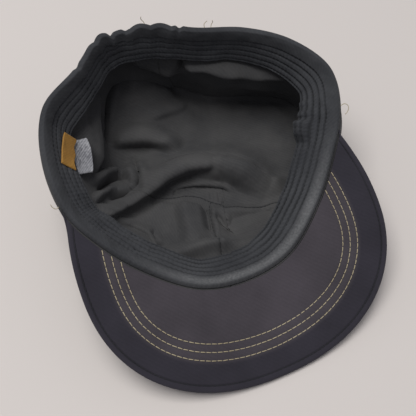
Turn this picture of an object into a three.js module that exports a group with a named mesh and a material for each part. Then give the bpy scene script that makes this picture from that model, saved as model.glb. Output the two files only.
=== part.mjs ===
import * as THREE from 'three';

// A soft cadet cap that lies upside down on its crown, with the opening up and the visor to the front.
// Millimetres. +X is the wearer's side at the right of the picture, the visor points to -Y, +Z is up.

// Driving dimensions
const CLOTH = 2.0;              // outer cloth and lining together
const SEAM_GAP = 0.3;           // clear space between two pieces that are sewn together
const RIM_HEIGHT = 54.1;        // height of the rim's line above the floor, at the middle of the opening
const RIM_RISE = 0.38;          // how much the rim climbs for each millimetre to the back
const RIM_CURL = 0.001;         // how much the rim and the visor lift to both sides
const CROWN_CENTRE = { x: 34, y: 42 };
const SEAM_HEIGHT = 5;          // where the crown seam lies higher, the crown's cloth slopes down from it
const SEAM_HOLD = 0.45;         // share of a fold's height that is left where it crosses the crown seam
const SEAM_REACH = 0.25;        // share of the way from the seam to the crown's centre where folds are held down
const SEAM_ROUND = 0.12;        // share of that way over which the seam's edge rounds down to the floor
const CORNER_REACH = 0.8;       // share of that way over which a raised corner of the crown slopes down
const FOLD_START = 0.55;        // level of the wall where the crown's folds begin to lift it
const FOLD_FULL = 0.9;          // level of the wall from where they lift it fully
const EDGE_STAND = 0.4;         // clear space between the rim's line and the wall
const EDGE_DROP = 1.5;          // the wall's raw edge sits this much lower than the rim's line
const EDGE_CLOTH = 1.2;         // the wall is pressed thin where it is sewn to the rim
const EDGE_STRAIGHT = 6;        // the wall falls straight over this stretch, behind the visor's root
const WALL_LENGTH = 88;         // cloth between the rim and the crown seam
const UPPER_SHARE = 0.25;       // place of the upper wall row on the way from the rim to the foot
const LOWER_SHARE = 0.6;
const BAND_WIDTH = 28.5;        // the sweatband, measured across
const BAND_CLOTH = 1.7;
const BAND_ROLL = 8;            // the smooth rolled edge of the sweatband
const BAND_ROLL_CLOTH = 3;
const RIB_RAISE = 0.6;
const VISOR_BOARD = 3.0;        // board with its two cloth faces
const VISOR_HALF_WIDTH = 99.2;
const VISOR_WIDEST_Y = -55;
const VISOR_TIP_Y = -135.3;
const VISOR_ROUNDNESS = 2.3;    // 2 is an ellipse, more is squarer
const VISOR_ROOT_Y = -12;
const VISOR_ROOT_TUCK = 4;      // the visor narrows this much from its widest place to its root
const VISOR_ROOT_SHARE = 0.78;  // share of the outline, from the tip, that is the round front
const VISOR_ROUND = 0.8;        // the edge is rounded off by this much
const VISOR_ROUND_REACH = 1.6;  // over this distance from the outline
const VISOR_WELT = 3.6;         // distance of the edge's topstitched groove from the outline
const VISOR_GROOVE = 0.4;       // depth of that groove
const TAG_CLOTH = 1.0;
const LABEL_CLOTH = 0.6;
const FRONT_SEAM = 17.6;        // stations of the side wall's two upright seams
const BACK_SEAM = 9;

// Stations go round the rim from the front, by the right side and the back. At each station the table
// has the rim's plan position, the crown seam's position (foot), how far the wall stands out between
// them at an upper and a lower height, and how far the sweatband's free edge leans into the hollow.
const SECTIONS = [
  { rimX: 0, rimY: -75, footX: 12, footY: -10, footZ: 5, upOut: 10, upZ: 12, lowOut: 0, lowZ: 4, lean: 25.5 },
  { rimX: 31, rimY: -69.5, footX: 40, footY: -19, footZ: 5, upOut: 10, upZ: 13, lowOut: 0, lowZ: 4, lean: 25.5 },
  { rimX: 59, rimY: -50, footX: 66, footY: -22, footZ: 4, upOut: 9, upZ: 22, lowOut: 7, lowZ: 6, lean: 25 },
  { rimX: 80, rimY: -28, footX: 90, footY: -8, footZ: 4, upOut: 6, upZ: 32, lowOut: 9, lowZ: 12, lean: 24.5 },
  { rimX: 97, rimY: -4, footX: 103, footY: 16, footZ: 4, upOut: 4, upZ: 42, lowOut: 6, lowZ: 18, lean: 24.5 },
  { rimX: 103, rimY: 24, footX: 106, footY: 44, footZ: 4, upOut: 4, upZ: 50, lowOut: 4, lowZ: 24, lean: 15.5 },
  { rimX: 87, rimY: 51, footX: 98, footY: 66, footZ: 4, upOut: 6, upZ: 54, lowOut: -4, lowZ: 32, lean: 6 },
  { rimX: 61, rimY: 70, footX: 76, footY: 80, footZ: 4, upOut: 9, upZ: 56, lowOut: -5, lowZ: 38, lean: -0.5 },
  { rimX: 31, rimY: 81, footX: 48, footY: 91, footZ: 4, upOut: 8, upZ: 57, lowOut: -4, lowZ: 38, lean: -1 },
  { rimX: 1, rimY: 93, footX: 21, footY: 105, footZ: 11, upOut: 5, upZ: 61, lowOut: 2, lowZ: 36, lean: 0 },
  { rimX: -30, rimY: 95, footX: -7, footY: 113, footZ: 24, upOut: 6, upZ: 65, lowOut: 5, lowZ: 43, lean: 3 },
  { rimX: -56, rimY: 76, footX: -29, footY: 107, footZ: 29, upOut: 5, upZ: 65, lowOut: 7, lowZ: 46, lean: 5 },
  { rimX: -82, rimY: 57, footX: -41, footY: 88, footZ: 18, upOut: 1, upZ: 60, lowOut: 4, lowZ: 36, lean: 10 },
  { rimX: -93, rimY: 27, footX: -49, footY: 66, footZ: 8, upOut: -2, upZ: 52, lowOut: 0, lowZ: 27, lean: 16 },
  { rimX: -92, rimY: -5, footX: -49, footY: 42, footZ: 5, upOut: -3, upZ: 43, lowOut: -1, lowZ: 20, lean: 20 },
  { rimX: -80, rimY: -28, footX: -43, footY: 23, footZ: 5, upOut: -2, upZ: 33, lowOut: 0, lowZ: 14, lean: 23 },
  { rimX: -59, rimY: -51, footX: -28, footY: 9, footZ: 5, upOut: 0, upZ: 22, lowOut: 0, lowZ: 8, lean: 24.5 },
  { rimX: -31, rimY: -70, footX: -10, footY: 0, footZ: 5, upOut: 9, upZ: 14, lowOut: 0, lowZ: 5, lean: 25 },
];

// Folds of the crown's cloth: a path in plan, the height of the crest, and how wide the cloth slopes
// on the path's left and on its right, seen along the path.
const CROWN_FOLDS = [
  { name: 'front arch', path: [[-58, 11], [-29, 26], [1, 28], [29, 16], [51, -7]], height: 13, left: 34, right: 14 },
  { name: 'left arc', path: [[-48, 67], [-20, 66], [4, 47]], height: 6, left: 16, right: 11 },
  { name: 'left loop', path: [[-36, 54], [-35, 38], [-42, 27], [-56, 25]], height: 7, left: 12, right: 12 },
];

// Folds that lie along the wall: the station of their middle, their reach in stations to each side,
// their level between the rim (0) and the foot (1), their half width on that scale, and their height
// into the hollow.
const WALL_FOLDS = [
  { name: 'front tuck', station: 17.7, reach: 1.6, level: 0.55, width: 0.14, height: 6 },
  { name: 'right back pleat', station: 6.8, reach: 1.4, level: 0.72, width: 0.12, height: 4 },
  { name: 'left pleat', station: 12.6, reach: 1.0, level: 0.62, width: 0.13, height: 4 },
];

// Gathers of the elastic at the back: scallops along the rim.
const GATHER = { from: 8.1, to: 10.7, waves: 6, outward: 1.3, upward: 1.1, depth: 26 };

// The two sewn-in labels: from station to station, their reach from the rim, and how far the care
// label's free end curls off the lining
const TAG = { from: 12.5, to: 13.12, start: 16, reach: 12 };
const LABEL = { from: 12.6, to: 13.25, start: 30.5, reach: 17, curl: 6 };

const COUNT = SECTIONS.length;
const UP = new THREE.Vector3(0, 0, 1);

const mix = (a, b, share) => a + (b - a) * share;
const clamp01 = (value) => Math.min(1, Math.max(0, value));
const ease = (value) => clamp01(value) ** 2 * (3 - 2 * clamp01(value));
const bell = (value) => (Math.abs(value) < 1 ? Math.cos(value * Math.PI / 2) ** 2 : 0);

// A smooth closed curve through one column of the table
function column(name, station) {
  const whole = Math.floor(station);
  const u = station - whole;
  const value = (step) => SECTIONS[(((whole + step) % COUNT) + COUNT) % COUNT][name];
  const [a, b, c, d] = [value(-1), value(0), value(1), value(2)];
  const bend = (2 * a - 5 * b + 4 * c - d) * u * u + (3 * b - a - 3 * c + d) * u ** 3;
  return b + 0.5 * ((c - a) * u + bend);
}

const rimLevel = (x, y) => RIM_HEIGHT + RIM_RISE * y + RIM_CURL * x * x;

function gatherAt(station) {
  const share = (station - GATHER.from) / (GATHER.to - GATHER.from);
  if (share <= 0 || share >= 1) {
    return 0;
  }
  const scallop = Math.abs(Math.sin(share * Math.PI * GATHER.waves));
  return (scallop - 0.5) * ease(share * 5) * ease((1 - share) * 5);
}

// The rim's line, with the outward direction in plan and the direction straight down the wall
function rimFrame(station) {
  const place = (s) => {
    const x = column('rimX', s);
    const y = column('rimY', s);
    return new THREE.Vector3(x, y, rimLevel(x, y));
  };
  const along = place(station + 0.02).sub(place(station - 0.02)).normalize();
  const outward = new THREE.Vector3(along.y, -along.x, 0).normalize();
  const down = UP.clone().negate().addScaledVector(along, along.z).normalize();
  return { point: place(station), outward, down };
}

const gatherShift = (frame, station, depth) => {
  const wave = gatherAt(station) * (1 - ease(depth / GATHER.depth));
  return frame.outward.clone().multiplyScalar(wave * GATHER.outward).addScaledVector(UP, wave * GATHER.upward);
};

// A curve through a few points, read by its share of their chord length
function throughPoints(points, share) {
  const knots = [0];
  for (let i = 1; i < points.length; i += 1) {
    knots.push(knots[i - 1] + points[i].distanceTo(points[i - 1]));
  }
  const last = points.length - 1;
  const at = clamp01(share) * knots[last];
  let k = 0;
  while (k < last - 1 && at > knots[k + 1]) {
    k += 1;
  }
  const slope = (i) => {
    const before = Math.max(0, i - 1);
    const after = Math.min(last, i + 1);
    return points[after].clone().sub(points[before]).divideScalar(knots[after] - knots[before]);
  };
  const h = knots[k + 1] - knots[k];
  const u = (at - knots[k]) / h;
  return points[k].clone().multiplyScalar(2 * u ** 3 - 3 * u * u + 1)
    .addScaledVector(slope(k), h * (u ** 3 - 2 * u * u + u))
    .addScaledVector(points[k + 1], 3 * u * u - 2 * u ** 3)
    .addScaledVector(slope(k + 1), h * (u ** 3 - u * u));
}

const FOLD_PATHS = CROWN_FOLDS.map((fold) => {
  const points = fold.path.map(([x, y]) => new THREE.Vector3(x, y, 0));
  return Array.from({ length: 25 }, (_, i) => throughPoints(points, i / 24));
});

// Height that the folds add to the crown's cloth at a place in plan
function foldLift(x, y) {
  let lift = 0;
  CROWN_FOLDS.forEach((fold, index) => {
    const path = FOLD_PATHS[index];
    let best = { distance: Infinity };
    for (let i = 1; i < path.length; i += 1) {
      const [a, b] = [path[i - 1], path[i]];
      const [dx, dy] = [b.x - a.x, b.y - a.y];
      const t = clamp01(((x - a.x) * dx + (y - a.y) * dy) / (dx * dx + dy * dy));
      const [ex, ey] = [x - a.x - dx * t, y - a.y - dy * t];
      const distance = Math.hypot(ex, ey);
      if (distance < best.distance) {
        best = { distance, left: dx * ey - dy * ex > 0, share: (i - 1 + t) / (path.length - 1) };
      }
    }
    const width = best.left ? fold.left : fold.right;
    const ends = ease(best.share / 0.2) * ease((1 - best.share) / 0.2);
    lift += fold.height * bell(best.distance / width) * ends;
  });
  return lift;
}

// The middle of the cloth: level 0 is the rim, 1 is the crown seam and 2 is the crown's centre
function cloth(station, level) {
  const frame = rimFrame(station);
  const foot = new THREE.Vector3(column('footX', station), column('footY', station), column('footZ', station));
  if (level > 1) {
    const k = level - 1;
    const x = mix(foot.x, CROWN_CENTRE.x, k);
    const y = mix(foot.y, CROWN_CENTRE.y, k);
    const low = Math.min(foot.z, SEAM_HEIGHT);
    const round = (low - CLOTH / 2) * Math.max(0, 1 - k / SEAM_ROUND) ** 2;
    const slope = (foot.z - low) * ease(1 - k / CORNER_REACH);
    const lift = foldLift(x, y) * mix(SEAM_HOLD, 1, ease(k / SEAM_REACH));
    return new THREE.Vector3(x, y, CLOTH / 2 + round + slope + lift);
  }
  const stand = EDGE_STAND + EDGE_CLOTH / 2;
  const top = frame.point.clone().addScaledVector(frame.outward, stand).addScaledVector(frame.down, EDGE_DROP);
  const root = frame.point.clone().addScaledVector(frame.outward, stand).addScaledVector(frame.down, EDGE_STRAIGHT);
  const row = (share, out, z) => {
    const place = frame.point.clone().lerp(foot, share).addScaledVector(frame.outward, column(out, station));
    place.z = column(z, station);
    return place;
  };
  const points = [top, root, row(UPPER_SHARE, 'upOut', 'upZ'), row(LOWER_SHARE, 'lowOut', 'lowZ'), foot];
  const place = throughPoints(points, level);
  place.add(gatherShift(frame, station, level * WALL_LENGTH));
  place.z += foldLift(place.x, place.y) * ease((level - FOLD_START) / (FOLD_FULL - FOLD_START)) * SEAM_HOLD;
  return place;
}

// Direction out of the hollow, square to the cloth
function outOfCloth(station, level) {
  const [before, after] = [Math.max(0, level - 0.02), Math.min(1.99, level + 0.02)];
  const across = cloth(station, after).sub(cloth(station, before));
  const along = cloth(station + 0.03, level).sub(cloth(station - 0.03, level));
  return along.cross(across).negate().normalize();
}

function wallFoldHeight(station, level) {
  return WALL_FOLDS.reduce((sum, fold) => {
    const turn = ((station - fold.station + COUNT * 1.5) % COUNT) - COUNT / 2;
    return sum + fold.height * bell(turn / fold.reach) * bell((level - fold.level) / fold.width);
  }, 0);
}

// A closed skin over rings of points. The ends are closed by a strip or by a fan, or joined.
function skin(rings, ends) {
  const size = rings[0].length;
  const positions = rings.flat().flatMap((p) => [p.x, p.y, p.z]);
  const faces = [];
  const quad = (a, b, c, d) => faces.push(a, b, c, a, c, d);
  const last = rings.length - 1;
  for (let r = 0; r < (ends === 'joined' ? rings.length : last); r += 1) {
    const next = ((r + 1) % rings.length) * size;
    for (let i = 0; i < size; i += 1) {
      const j = (i + 1) % size;
      quad(r * size + i, r * size + j, next + j, next + i);
    }
  }
  for (const [r, turned] of ends === 'joined' ? [] : [[0, false], [last, true]]) {
    const base = r * size;
    if (ends === 'fan') {
      const centre = rings[r].reduce((sum, p) => sum.add(p), new THREE.Vector3()).divideScalar(size);
      const tip = positions.push(centre.x, centre.y, centre.z) / 3 - 1;
      for (let i = 0; i < size; i += 1) {
        const j = (i + 1) % size;
        faces.push(tip, base + (turned ? i : j), base + (turned ? j : i));
      }
    } else {
      for (let i = 0; i < size / 2 - 1; i += 1) {
        const [a, b, c, d] = [i, i + 1, size - 2 - i, size - 1 - i].map((k) => base + k);
        if (turned) {
          quad(a, b, c, d);
        } else {
          quad(a, d, c, b);
        }
      }
    }
  }
  const geometry = new THREE.BufferGeometry();
  geometry.setAttribute('position', new THREE.Float32BufferAttribute(positions, 3));
  geometry.setIndex(signedVolume(positions, faces) < 0 ? faces.reverse() : faces);
  return geometry;
}

function signedVolume(positions, faces) {
  const corner = (i) => new THREE.Vector3().fromArray(positions, faces[i] * 3);
  let volume = 0;
  for (let i = 0; i < faces.length; i += 3) {
    volume += corner(i).dot(corner(i + 1).cross(corner(i + 2)));
  }
  return volume;
}

// Stations from one to another: close together at the gathers, wider apart elsewhere
function stationsBetween(from, to) {
  const stops = [from, GATHER.from, GATHER.to, to].filter((s) => s >= from && s <= to).sort((a, b) => a - b);
  const list = [from];
  for (let i = 1; i < stops.length; i += 1) {
    const dense = stops[i - 1] >= GATHER.from && stops[i] <= GATHER.to;
    const steps = Math.max(1, Math.round((stops[i] - stops[i - 1]) / (dense ? 0.13 : 0.25)));
    for (let k = 1; k <= steps; k += 1) {
      list.push(mix(stops[i - 1], stops[i], k / steps));
    }
  }
  return list;
}

const piece = (name, geometry, color, roughness) => {
  const mesh = new THREE.Mesh(geometry, new THREE.MeshStandardMaterial({ color, roughness, metalness: 0 }));
  mesh.name = name;
  return mesh;
};

// Side wall: one half from seam to seam
const WALL_LEVELS = [0, 0.07, 0.17, 0.29, 0.41, 0.53, 0.65, 0.77, 0.89, 1];

function sideWall(from, to) {
  const seam = 0.005;   // half the gap between the two halves, in stations
  const rings = stationsBetween(from + seam, to - seam).map((station) => {
    const rows = WALL_LEVELS.map((level) => {
      const out = outOfCloth(station, level);
      const middle = cloth(station, level).addScaledVector(out, -wallFoldHeight(station, level));
      if (level === 1) {
        middle.sub(cloth(station, 1.01).sub(middle).setLength(SEAM_GAP / 2));
      }
      const half = mix(EDGE_CLOTH, CLOTH, ease((level - 0.07) / 0.1)) / 2;
      return { outer: middle.clone().addScaledVector(out, half), inner: middle.clone().addScaledVector(out, -half) };
    });
    return [...rows.map((row) => row.outer), ...rows.map((row) => row.inner).reverse()];
  });
  return skin(rings, 'strip');
}

// Crown top: the oval panel inside the crown seam
const CROWN_LEVELS = [1, 1.06, 1.13, 1.22, 1.32, 1.42, 1.52, 1.63, 1.75, 1.88];

function crownTop() {
  const stations = stationsBetween(0, COUNT).slice(0, -1);
  const ring = (level, side) => stations.map((station) => {
    const middle = cloth(station, level);
    if (level === 1) {
      middle.add(cloth(station, 1.01).sub(middle).setLength(SEAM_GAP / 2));
    }
    return middle.addScaledVector(outOfCloth(station, level), side * CLOTH / 2);
  });
  const inside = CROWN_LEVELS.map((level) => ring(level, -1)).reverse();
  const outside = CROWN_LEVELS.map((level) => ring(level, 1));
  return skin([...inside, ...outside], 'fan');
}

// Sweatband: rows across the band give the depth and how far the hollow's face rises over the back face
const BAND_ROWS = [
  { depth: 0, raise: 0.7 * BAND_ROLL_CLOTH },
  { depth: 2, raise: BAND_ROLL_CLOTH },
  { depth: BAND_ROLL - 2, raise: BAND_ROLL_CLOTH },
  { depth: BAND_ROLL, raise: BAND_CLOTH },
  { depth: 11, raise: BAND_CLOTH + RIB_RAISE },
  { depth: 14, raise: BAND_CLOTH },
  { depth: 17, raise: BAND_CLOTH + RIB_RAISE },
  { depth: 20, raise: BAND_CLOTH },
  { depth: 23, raise: BAND_CLOTH + RIB_RAISE },
  { depth: BAND_WIDTH, raise: BAND_CLOTH },
];

function bandPoint(station, depth) {
  const frame = rimFrame(station);
  const lean = column('lean', station) / BAND_WIDTH;
  const drop = Math.sqrt(1 - lean * lean);
  return frame.point.clone()
    .addScaledVector(frame.outward, -lean * depth)
    .addScaledVector(frame.down, drop * depth)
    .add(gatherShift(frame, station, depth));
}

// Direction from the sweatband's face into the hollow
function bandFacing(station) {
  const across = bandPoint(station, BAND_WIDTH).sub(bandPoint(station, 0));
  const along = bandPoint(station + 0.03, BAND_WIDTH / 2).sub(bandPoint(station - 0.03, BAND_WIDTH / 2));
  return along.cross(across).normalize();
}

function sweatband() {
  const rings = stationsBetween(0, COUNT).slice(0, -1).map((station) => {
    const inward = bandFacing(station);
    const front = BAND_ROWS.map((row) => bandPoint(station, row.depth).addScaledVector(inward, row.raise));
    const back = [BAND_WIDTH, BAND_ROLL, 0].map((depth) => bandPoint(station, depth));
    return [...front, ...back];
  });
  return skin(rings, 'joined');
}

// Visor: a curled plate from the rim to its round outline
const VISOR_FROM = 14.2;
const VISOR_TO = COUNT + 3.6;
const VISOR_STEPS = 56;

const visorOutline = (share) => {
  const side = share < 0.5 ? -1 : 1;
  const run = Math.abs(share - 0.5) * 2;
  if (run > VISOR_ROOT_SHARE) {
    const back = (run - VISOR_ROOT_SHARE) / (1 - VISOR_ROOT_SHARE);
    const y = mix(VISOR_WIDEST_Y, VISOR_ROOT_Y, back);
    return { x: side * (VISOR_HALF_WIDTH - VISOR_ROOT_TUCK * back * back), y };
  }
  const angle = run / VISOR_ROOT_SHARE * Math.PI / 2;
  const power = 2 / VISOR_ROUNDNESS;
  const x = side * VISOR_HALF_WIDTH * Math.sin(angle) ** power;
  const y = VISOR_WIDEST_Y + (VISOR_TIP_Y - VISOR_WIDEST_Y) * Math.cos(angle) ** power;
  return { x, y };
};

// The rows of the visor's upper face next to its outline: their distance from it, and how deep they lie
const VISOR_ROWS = [
  { inset: 0, sink: VISOR_ROUND },
  { inset: VISOR_ROUND_REACH, sink: 0 },
  { inset: VISOR_WELT - VISOR_GROOVE * 2, sink: 0 },
  { inset: VISOR_WELT, sink: VISOR_GROOVE },
  { inset: VISOR_WELT + VISOR_GROOVE * 2, sink: 0 },
];

function visor() {
  const rings = [];
  for (let i = 0; i <= VISOR_STEPS; i += 1) {
    const share = i / VISOR_STEPS;
    const station = mix(VISOR_FROM, VISOR_TO, share);
    const frame = rimFrame(station);
    const root = frame.point.clone().addScaledVector(frame.outward, EDGE_STAND + EDGE_CLOTH + SEAM_GAP);
    const edge = visorOutline(share);
    const width = Math.hypot(edge.x - root.x, edge.y - root.y);
    const at = (fromEdge, sink) => {
      const x = mix(edge.x, root.x, fromEdge);
      const y = mix(edge.y, root.y, fromEdge);
      return new THREE.Vector3(x, y, rimLevel(x, y) - sink);
    };
    // where the visor is narrow, the welt lies at most this share of its width from the outline
    const weltShare = 0.4;
    const squeeze = Math.min(1, width * weltShare / VISOR_WELT) / width;
    const rows = VISOR_ROWS.map((row) => at(row.inset * squeeze, row.sink));
    const board = VISOR_BOARD * Math.hypot(1, RIM_RISE);
    const round = VISOR_ROUND_REACH * squeeze;
    const top = [...rows, at(0.6, 0), at(0.8, 0), at(1, 0)];
    const bottom = [at(1, board), at(0.6, board), at(round, board), at(0, board - VISOR_ROUND)];
    rings.push([...top, ...bottom]);
  }
  return skin(rings, 'strip');
}

// A small sewn-in patch of tape. lay gives its back at a station and a distance from the rim, and the
// direction that it faces.
function patch(spec, thickness, lay) {
  const rings = [];
  for (let i = 0; i <= 4; i += 1) {
    const station = mix(spec.from, spec.to, i / 4);
    const rows = [0, 0.5, 1].map((share) => {
      const { back, facing } = lay(station, spec.start + spec.reach * share);
      return { back, face: back.clone().addScaledVector(facing, thickness) };
    });
    rings.push([...rows.map((row) => row.back), ...rows.map((row) => row.face).reverse()]);
  }
  return skin(rings, 'strip');
}

function onBand(station, depth) {
  const facing = bandFacing(station);
  const stand = BAND_CLOTH + RIB_RAISE + SEAM_GAP;
  return { back: bandPoint(station, depth).addScaledVector(facing, stand), facing };
}

function onWall(station, depth) {
  const level = depth / WALL_LENGTH;
  const facing = outOfCloth(station, level).negate();
  const curl = LABEL.curl * ((depth - LABEL.start) / LABEL.reach) ** 2;
  const stand = CLOTH / 2 + SEAM_GAP + wallFoldHeight(station, level) + curl;
  return { back: cloth(station, level).addScaledVector(facing, stand), facing };
}

const BLACK_TWILL = 0x2f2f31;
const CHARCOAL_TWILL = 0x3c393d;

const cap = new THREE.Group();
cap.add(piece('crown_top', crownTop(), BLACK_TWILL, 0.95));
cap.add(piece('side_wall_right', sideWall(FRONT_SEAM - COUNT, BACK_SEAM), BLACK_TWILL, 0.95));
cap.add(piece('side_wall_left', sideWall(BACK_SEAM, FRONT_SEAM), BLACK_TWILL, 0.95));
cap.add(piece('sweatband', sweatband(), 0x454646, 0.9));
cap.add(piece('visor', visor(), CHARCOAL_TWILL, 0.92));
cap.add(piece('loop_tag', patch(TAG, TAG_CLOTH, onBand), 0xb88a38, 0.8));
cap.add(piece('care_label', patch(LABEL, LABEL_CLOTH, onWall), 0x8f8f92, 0.7));

// The origin goes to the floor, under the middle of the whole cap
const bounds = new THREE.Box3().setFromObject(cap);
const middle = bounds.getCenter(new THREE.Vector3());
cap.position.set(-middle.x, -middle.y, -bounds.min.z);

export default cap;
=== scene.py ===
# %% [markdown]
# # A soft cadet cap, lying upside down
#
# A cadet cap is sewn from flat pieces of washed cotton twill: an oval crown, two long side walls,
# a ribbed sweatband round the opening and a board visor in a cloth cover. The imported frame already
# has each piece at its real size. This lesson rebuilds them as fine cloth: folds, puckered seams,
# every stitch, and finishes made of nodes.

import math

import bpy
import numpy as np
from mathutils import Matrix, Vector


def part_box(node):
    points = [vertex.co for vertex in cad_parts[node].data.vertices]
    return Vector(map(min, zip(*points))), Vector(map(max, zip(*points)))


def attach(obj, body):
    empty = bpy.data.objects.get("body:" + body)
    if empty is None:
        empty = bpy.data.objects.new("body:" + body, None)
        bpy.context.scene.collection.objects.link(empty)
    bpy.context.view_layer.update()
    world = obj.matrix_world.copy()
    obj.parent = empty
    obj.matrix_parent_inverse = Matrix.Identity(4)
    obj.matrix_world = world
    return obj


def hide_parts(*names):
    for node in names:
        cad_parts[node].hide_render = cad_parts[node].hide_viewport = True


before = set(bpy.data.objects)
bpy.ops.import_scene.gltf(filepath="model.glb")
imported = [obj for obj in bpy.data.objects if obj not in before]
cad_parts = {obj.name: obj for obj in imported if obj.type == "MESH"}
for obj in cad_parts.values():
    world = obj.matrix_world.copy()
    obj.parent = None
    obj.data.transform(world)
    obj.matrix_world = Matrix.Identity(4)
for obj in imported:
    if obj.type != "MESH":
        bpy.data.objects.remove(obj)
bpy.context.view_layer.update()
MM = 0.001

# %% [markdown]
# ## The cap's shape, from a few sizes
#
# All shapes below are worked out in millimetres from the same sizes that the frame was built from.
# The rim of the opening is a closed curve through 18 stations, which start at the middle of the
# front and go round by the right side and the back. A short table says where the crown seam (the
# "foot" of the wall) lies below each station, how the wall stands out between them, and how far the
# sweatband leans into the hollow. A table of cross-sections is how a tailor's dummy or a boat hull
# is described, and it keeps a soft, crumpled form down to a few readable numbers.

# %% Sizes and cross-sections
CLOTH = 2.0               # outer cloth and lining together
SEAM_GAP = 0.3            # clear space between two pieces that are sewn together
RIM_HEIGHT = 54.1         # the rim's height above the floor, at the middle of the opening
RIM_RISE = 0.38           # how much the rim climbs for each millimetre to the back
RIM_CURL = 0.001          # how much the rim and the visor lift to both sides
CROWN_CENTRE = (34, 42)   # the crown's middle, in plan
SEAM_HEIGHT = 5           # where its seam lies higher than this, the crown slopes up to it
SEAM_HOLD = 0.45          # share of a fold's height that is left where it crosses the crown seam
SEAM_REACH = 0.25         # share of the way to the crown's middle where a fold has its full height
SEAM_ROUND = 0.12         # share of that way over which the cloth rounds off from seam to floor
CORNER_REACH = 0.8        # share of that way over which a lifted seam's slope runs out
FOLD_START = 0.55         # the crown's folds start in the wall at this level
FOLD_FULL = 0.9           # and are as high as at the seam from this level on
EDGE_STAND = 0.4          # the wall's edge stands this far outside the rim's line
EDGE_DROP = 1.5           # and this far below it
EDGE_CLOTH = 1.2          # the wall's thickness at its edge
EDGE_STRAIGHT = 6         # the wall goes straight down from the rim for this much
WALL_LENGTH = 88          # cloth between the rim and the crown seam
UPPER_SHARE = 0.25        # share of the way from rim to foot where up_out and up_z are given
LOWER_SHARE = 0.6         # and where low_out and low_z are given
BAND_WIDTH = 28.5
# the elastic's stations and number of scallops, then how far they stand out and up and reach down
GATHER_FROM, GATHER_TO, GATHER_WAVES = 8.1, 10.7, 6
GATHER_OUT, GATHER_UP, GATHER_DEPTH = 1.3, 1.1, 26
FRONT_SEAM, BACK_SEAM = 17.6, 9.0

COLUMNS = "rim_x rim_y foot_x foot_y foot_z up_out up_z low_out low_z lean".split()
SECTIONS = np.array([
    (0, -75, 12, -10, 5, 10, 12, 0, 4, 25.5),
    (31, -69.5, 40, -19, 5, 10, 13, 0, 4, 25.5),
    (59, -50, 66, -22, 4, 9, 22, 7, 6, 25),
    (80, -28, 90, -8, 4, 6, 32, 9, 12, 24.5),
    (97, -4, 103, 16, 4, 4, 42, 6, 18, 24.5),
    (103, 24, 106, 44, 4, 4, 50, 4, 24, 15.5),
    (87, 51, 98, 66, 4, 6, 54, -4, 32, 6),
    (61, 70, 76, 80, 4, 9, 56, -5, 38, -0.5),
    (31, 81, 48, 91, 4, 8, 57, -4, 38, -1),
    (1, 93, 21, 105, 11, 5, 61, 2, 36, 0),
    (-30, 95, -7, 113, 24, 6, 65, 5, 43, 3),
    (-56, 76, -29, 107, 29, 5, 65, 7, 46, 5),
    (-82, 57, -41, 88, 18, 1, 60, 4, 36, 10),
    (-93, 27, -49, 66, 8, -2, 52, 0, 27, 16),
    (-92, -5, -49, 42, 5, -3, 43, -1, 20, 20),
    (-80, -28, -43, 23, 5, -2, 33, 0, 14, 23),
    (-59, -51, -28, 9, 5, 0, 22, 0, 8, 24.5),
    (-31, -70, -10, 0, 5, 9, 14, 0, 5, 25),
], float)
COUNT = len(SECTIONS)

# The crown's three big folds: a path in plan, the crest's height, and the slopes' reach on both sides
CROWN_FOLDS = [
    ([(-58, 11), (-29, 26), (1, 28), (29, 16), (51, -7)], 13, 34, 14),
    ([(-48, 67), (-20, 66), (4, 47)], 6, 16, 11),
    ([(-36, 54), (-35, 38), (-42, 27), (-56, 25)], 7, 12, 12),
]
# Folds along the wall: station, reach, level between rim and foot, half width, height
WALL_FOLDS = [
    (17.7, 1.6, 0.55, 0.14, 6),
    (6.8, 1.4, 0.72, 0.12, 4),
    (12.6, 1.0, 0.62, 0.13, 4),
]
print("stations:", COUNT, " crown folds:", len(CROWN_FOLDS), " wall folds:", len(WALL_FOLDS))


# %% [markdown]
# ## A few curves that all shapes share
#
# Sewn cloth has hardly a straight line. Blender's own curves could draw it, but they are slow to
# sample by the thousand, so the lesson uses three short rules: ease goes smoothly from 0 to 1, bell
# is a soft hump, and through_points draws a smooth curve through a few given points.

# %% Curves and easing
def ease(value):
    value = np.clip(value, 0, 1)
    return value * value * (3 - 2 * value)


def bell(value):
    return np.where(np.abs(value) < 1, np.cos(np.clip(value, -1, 1) * np.pi / 2) ** 2, 0)


def apart(station, middle):
    """How many stations lie between two places on the rim, the short way round."""
    return np.abs((station - middle + COUNT * 1.5) % COUNT - COUNT / 2)


def unit(vectors):
    return vectors / np.maximum(np.linalg.norm(vectors, axis=-1, keepdims=True), 1e-9)


def column(name, station):
    """A smooth closed curve through one column of the cross-section table."""
    whole = np.floor(station).astype(int)
    u = station - whole
    a, b, c, d = (SECTIONS[(whole + k) % COUNT, COLUMNS.index(name)] for k in (-1, 0, 1, 2))
    bend = (2 * a - 5 * b + 4 * c - d) * u * u + (3 * b - a - 3 * c + d) * u ** 3
    return b + 0.5 * ((c - a) * u + bend)


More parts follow.
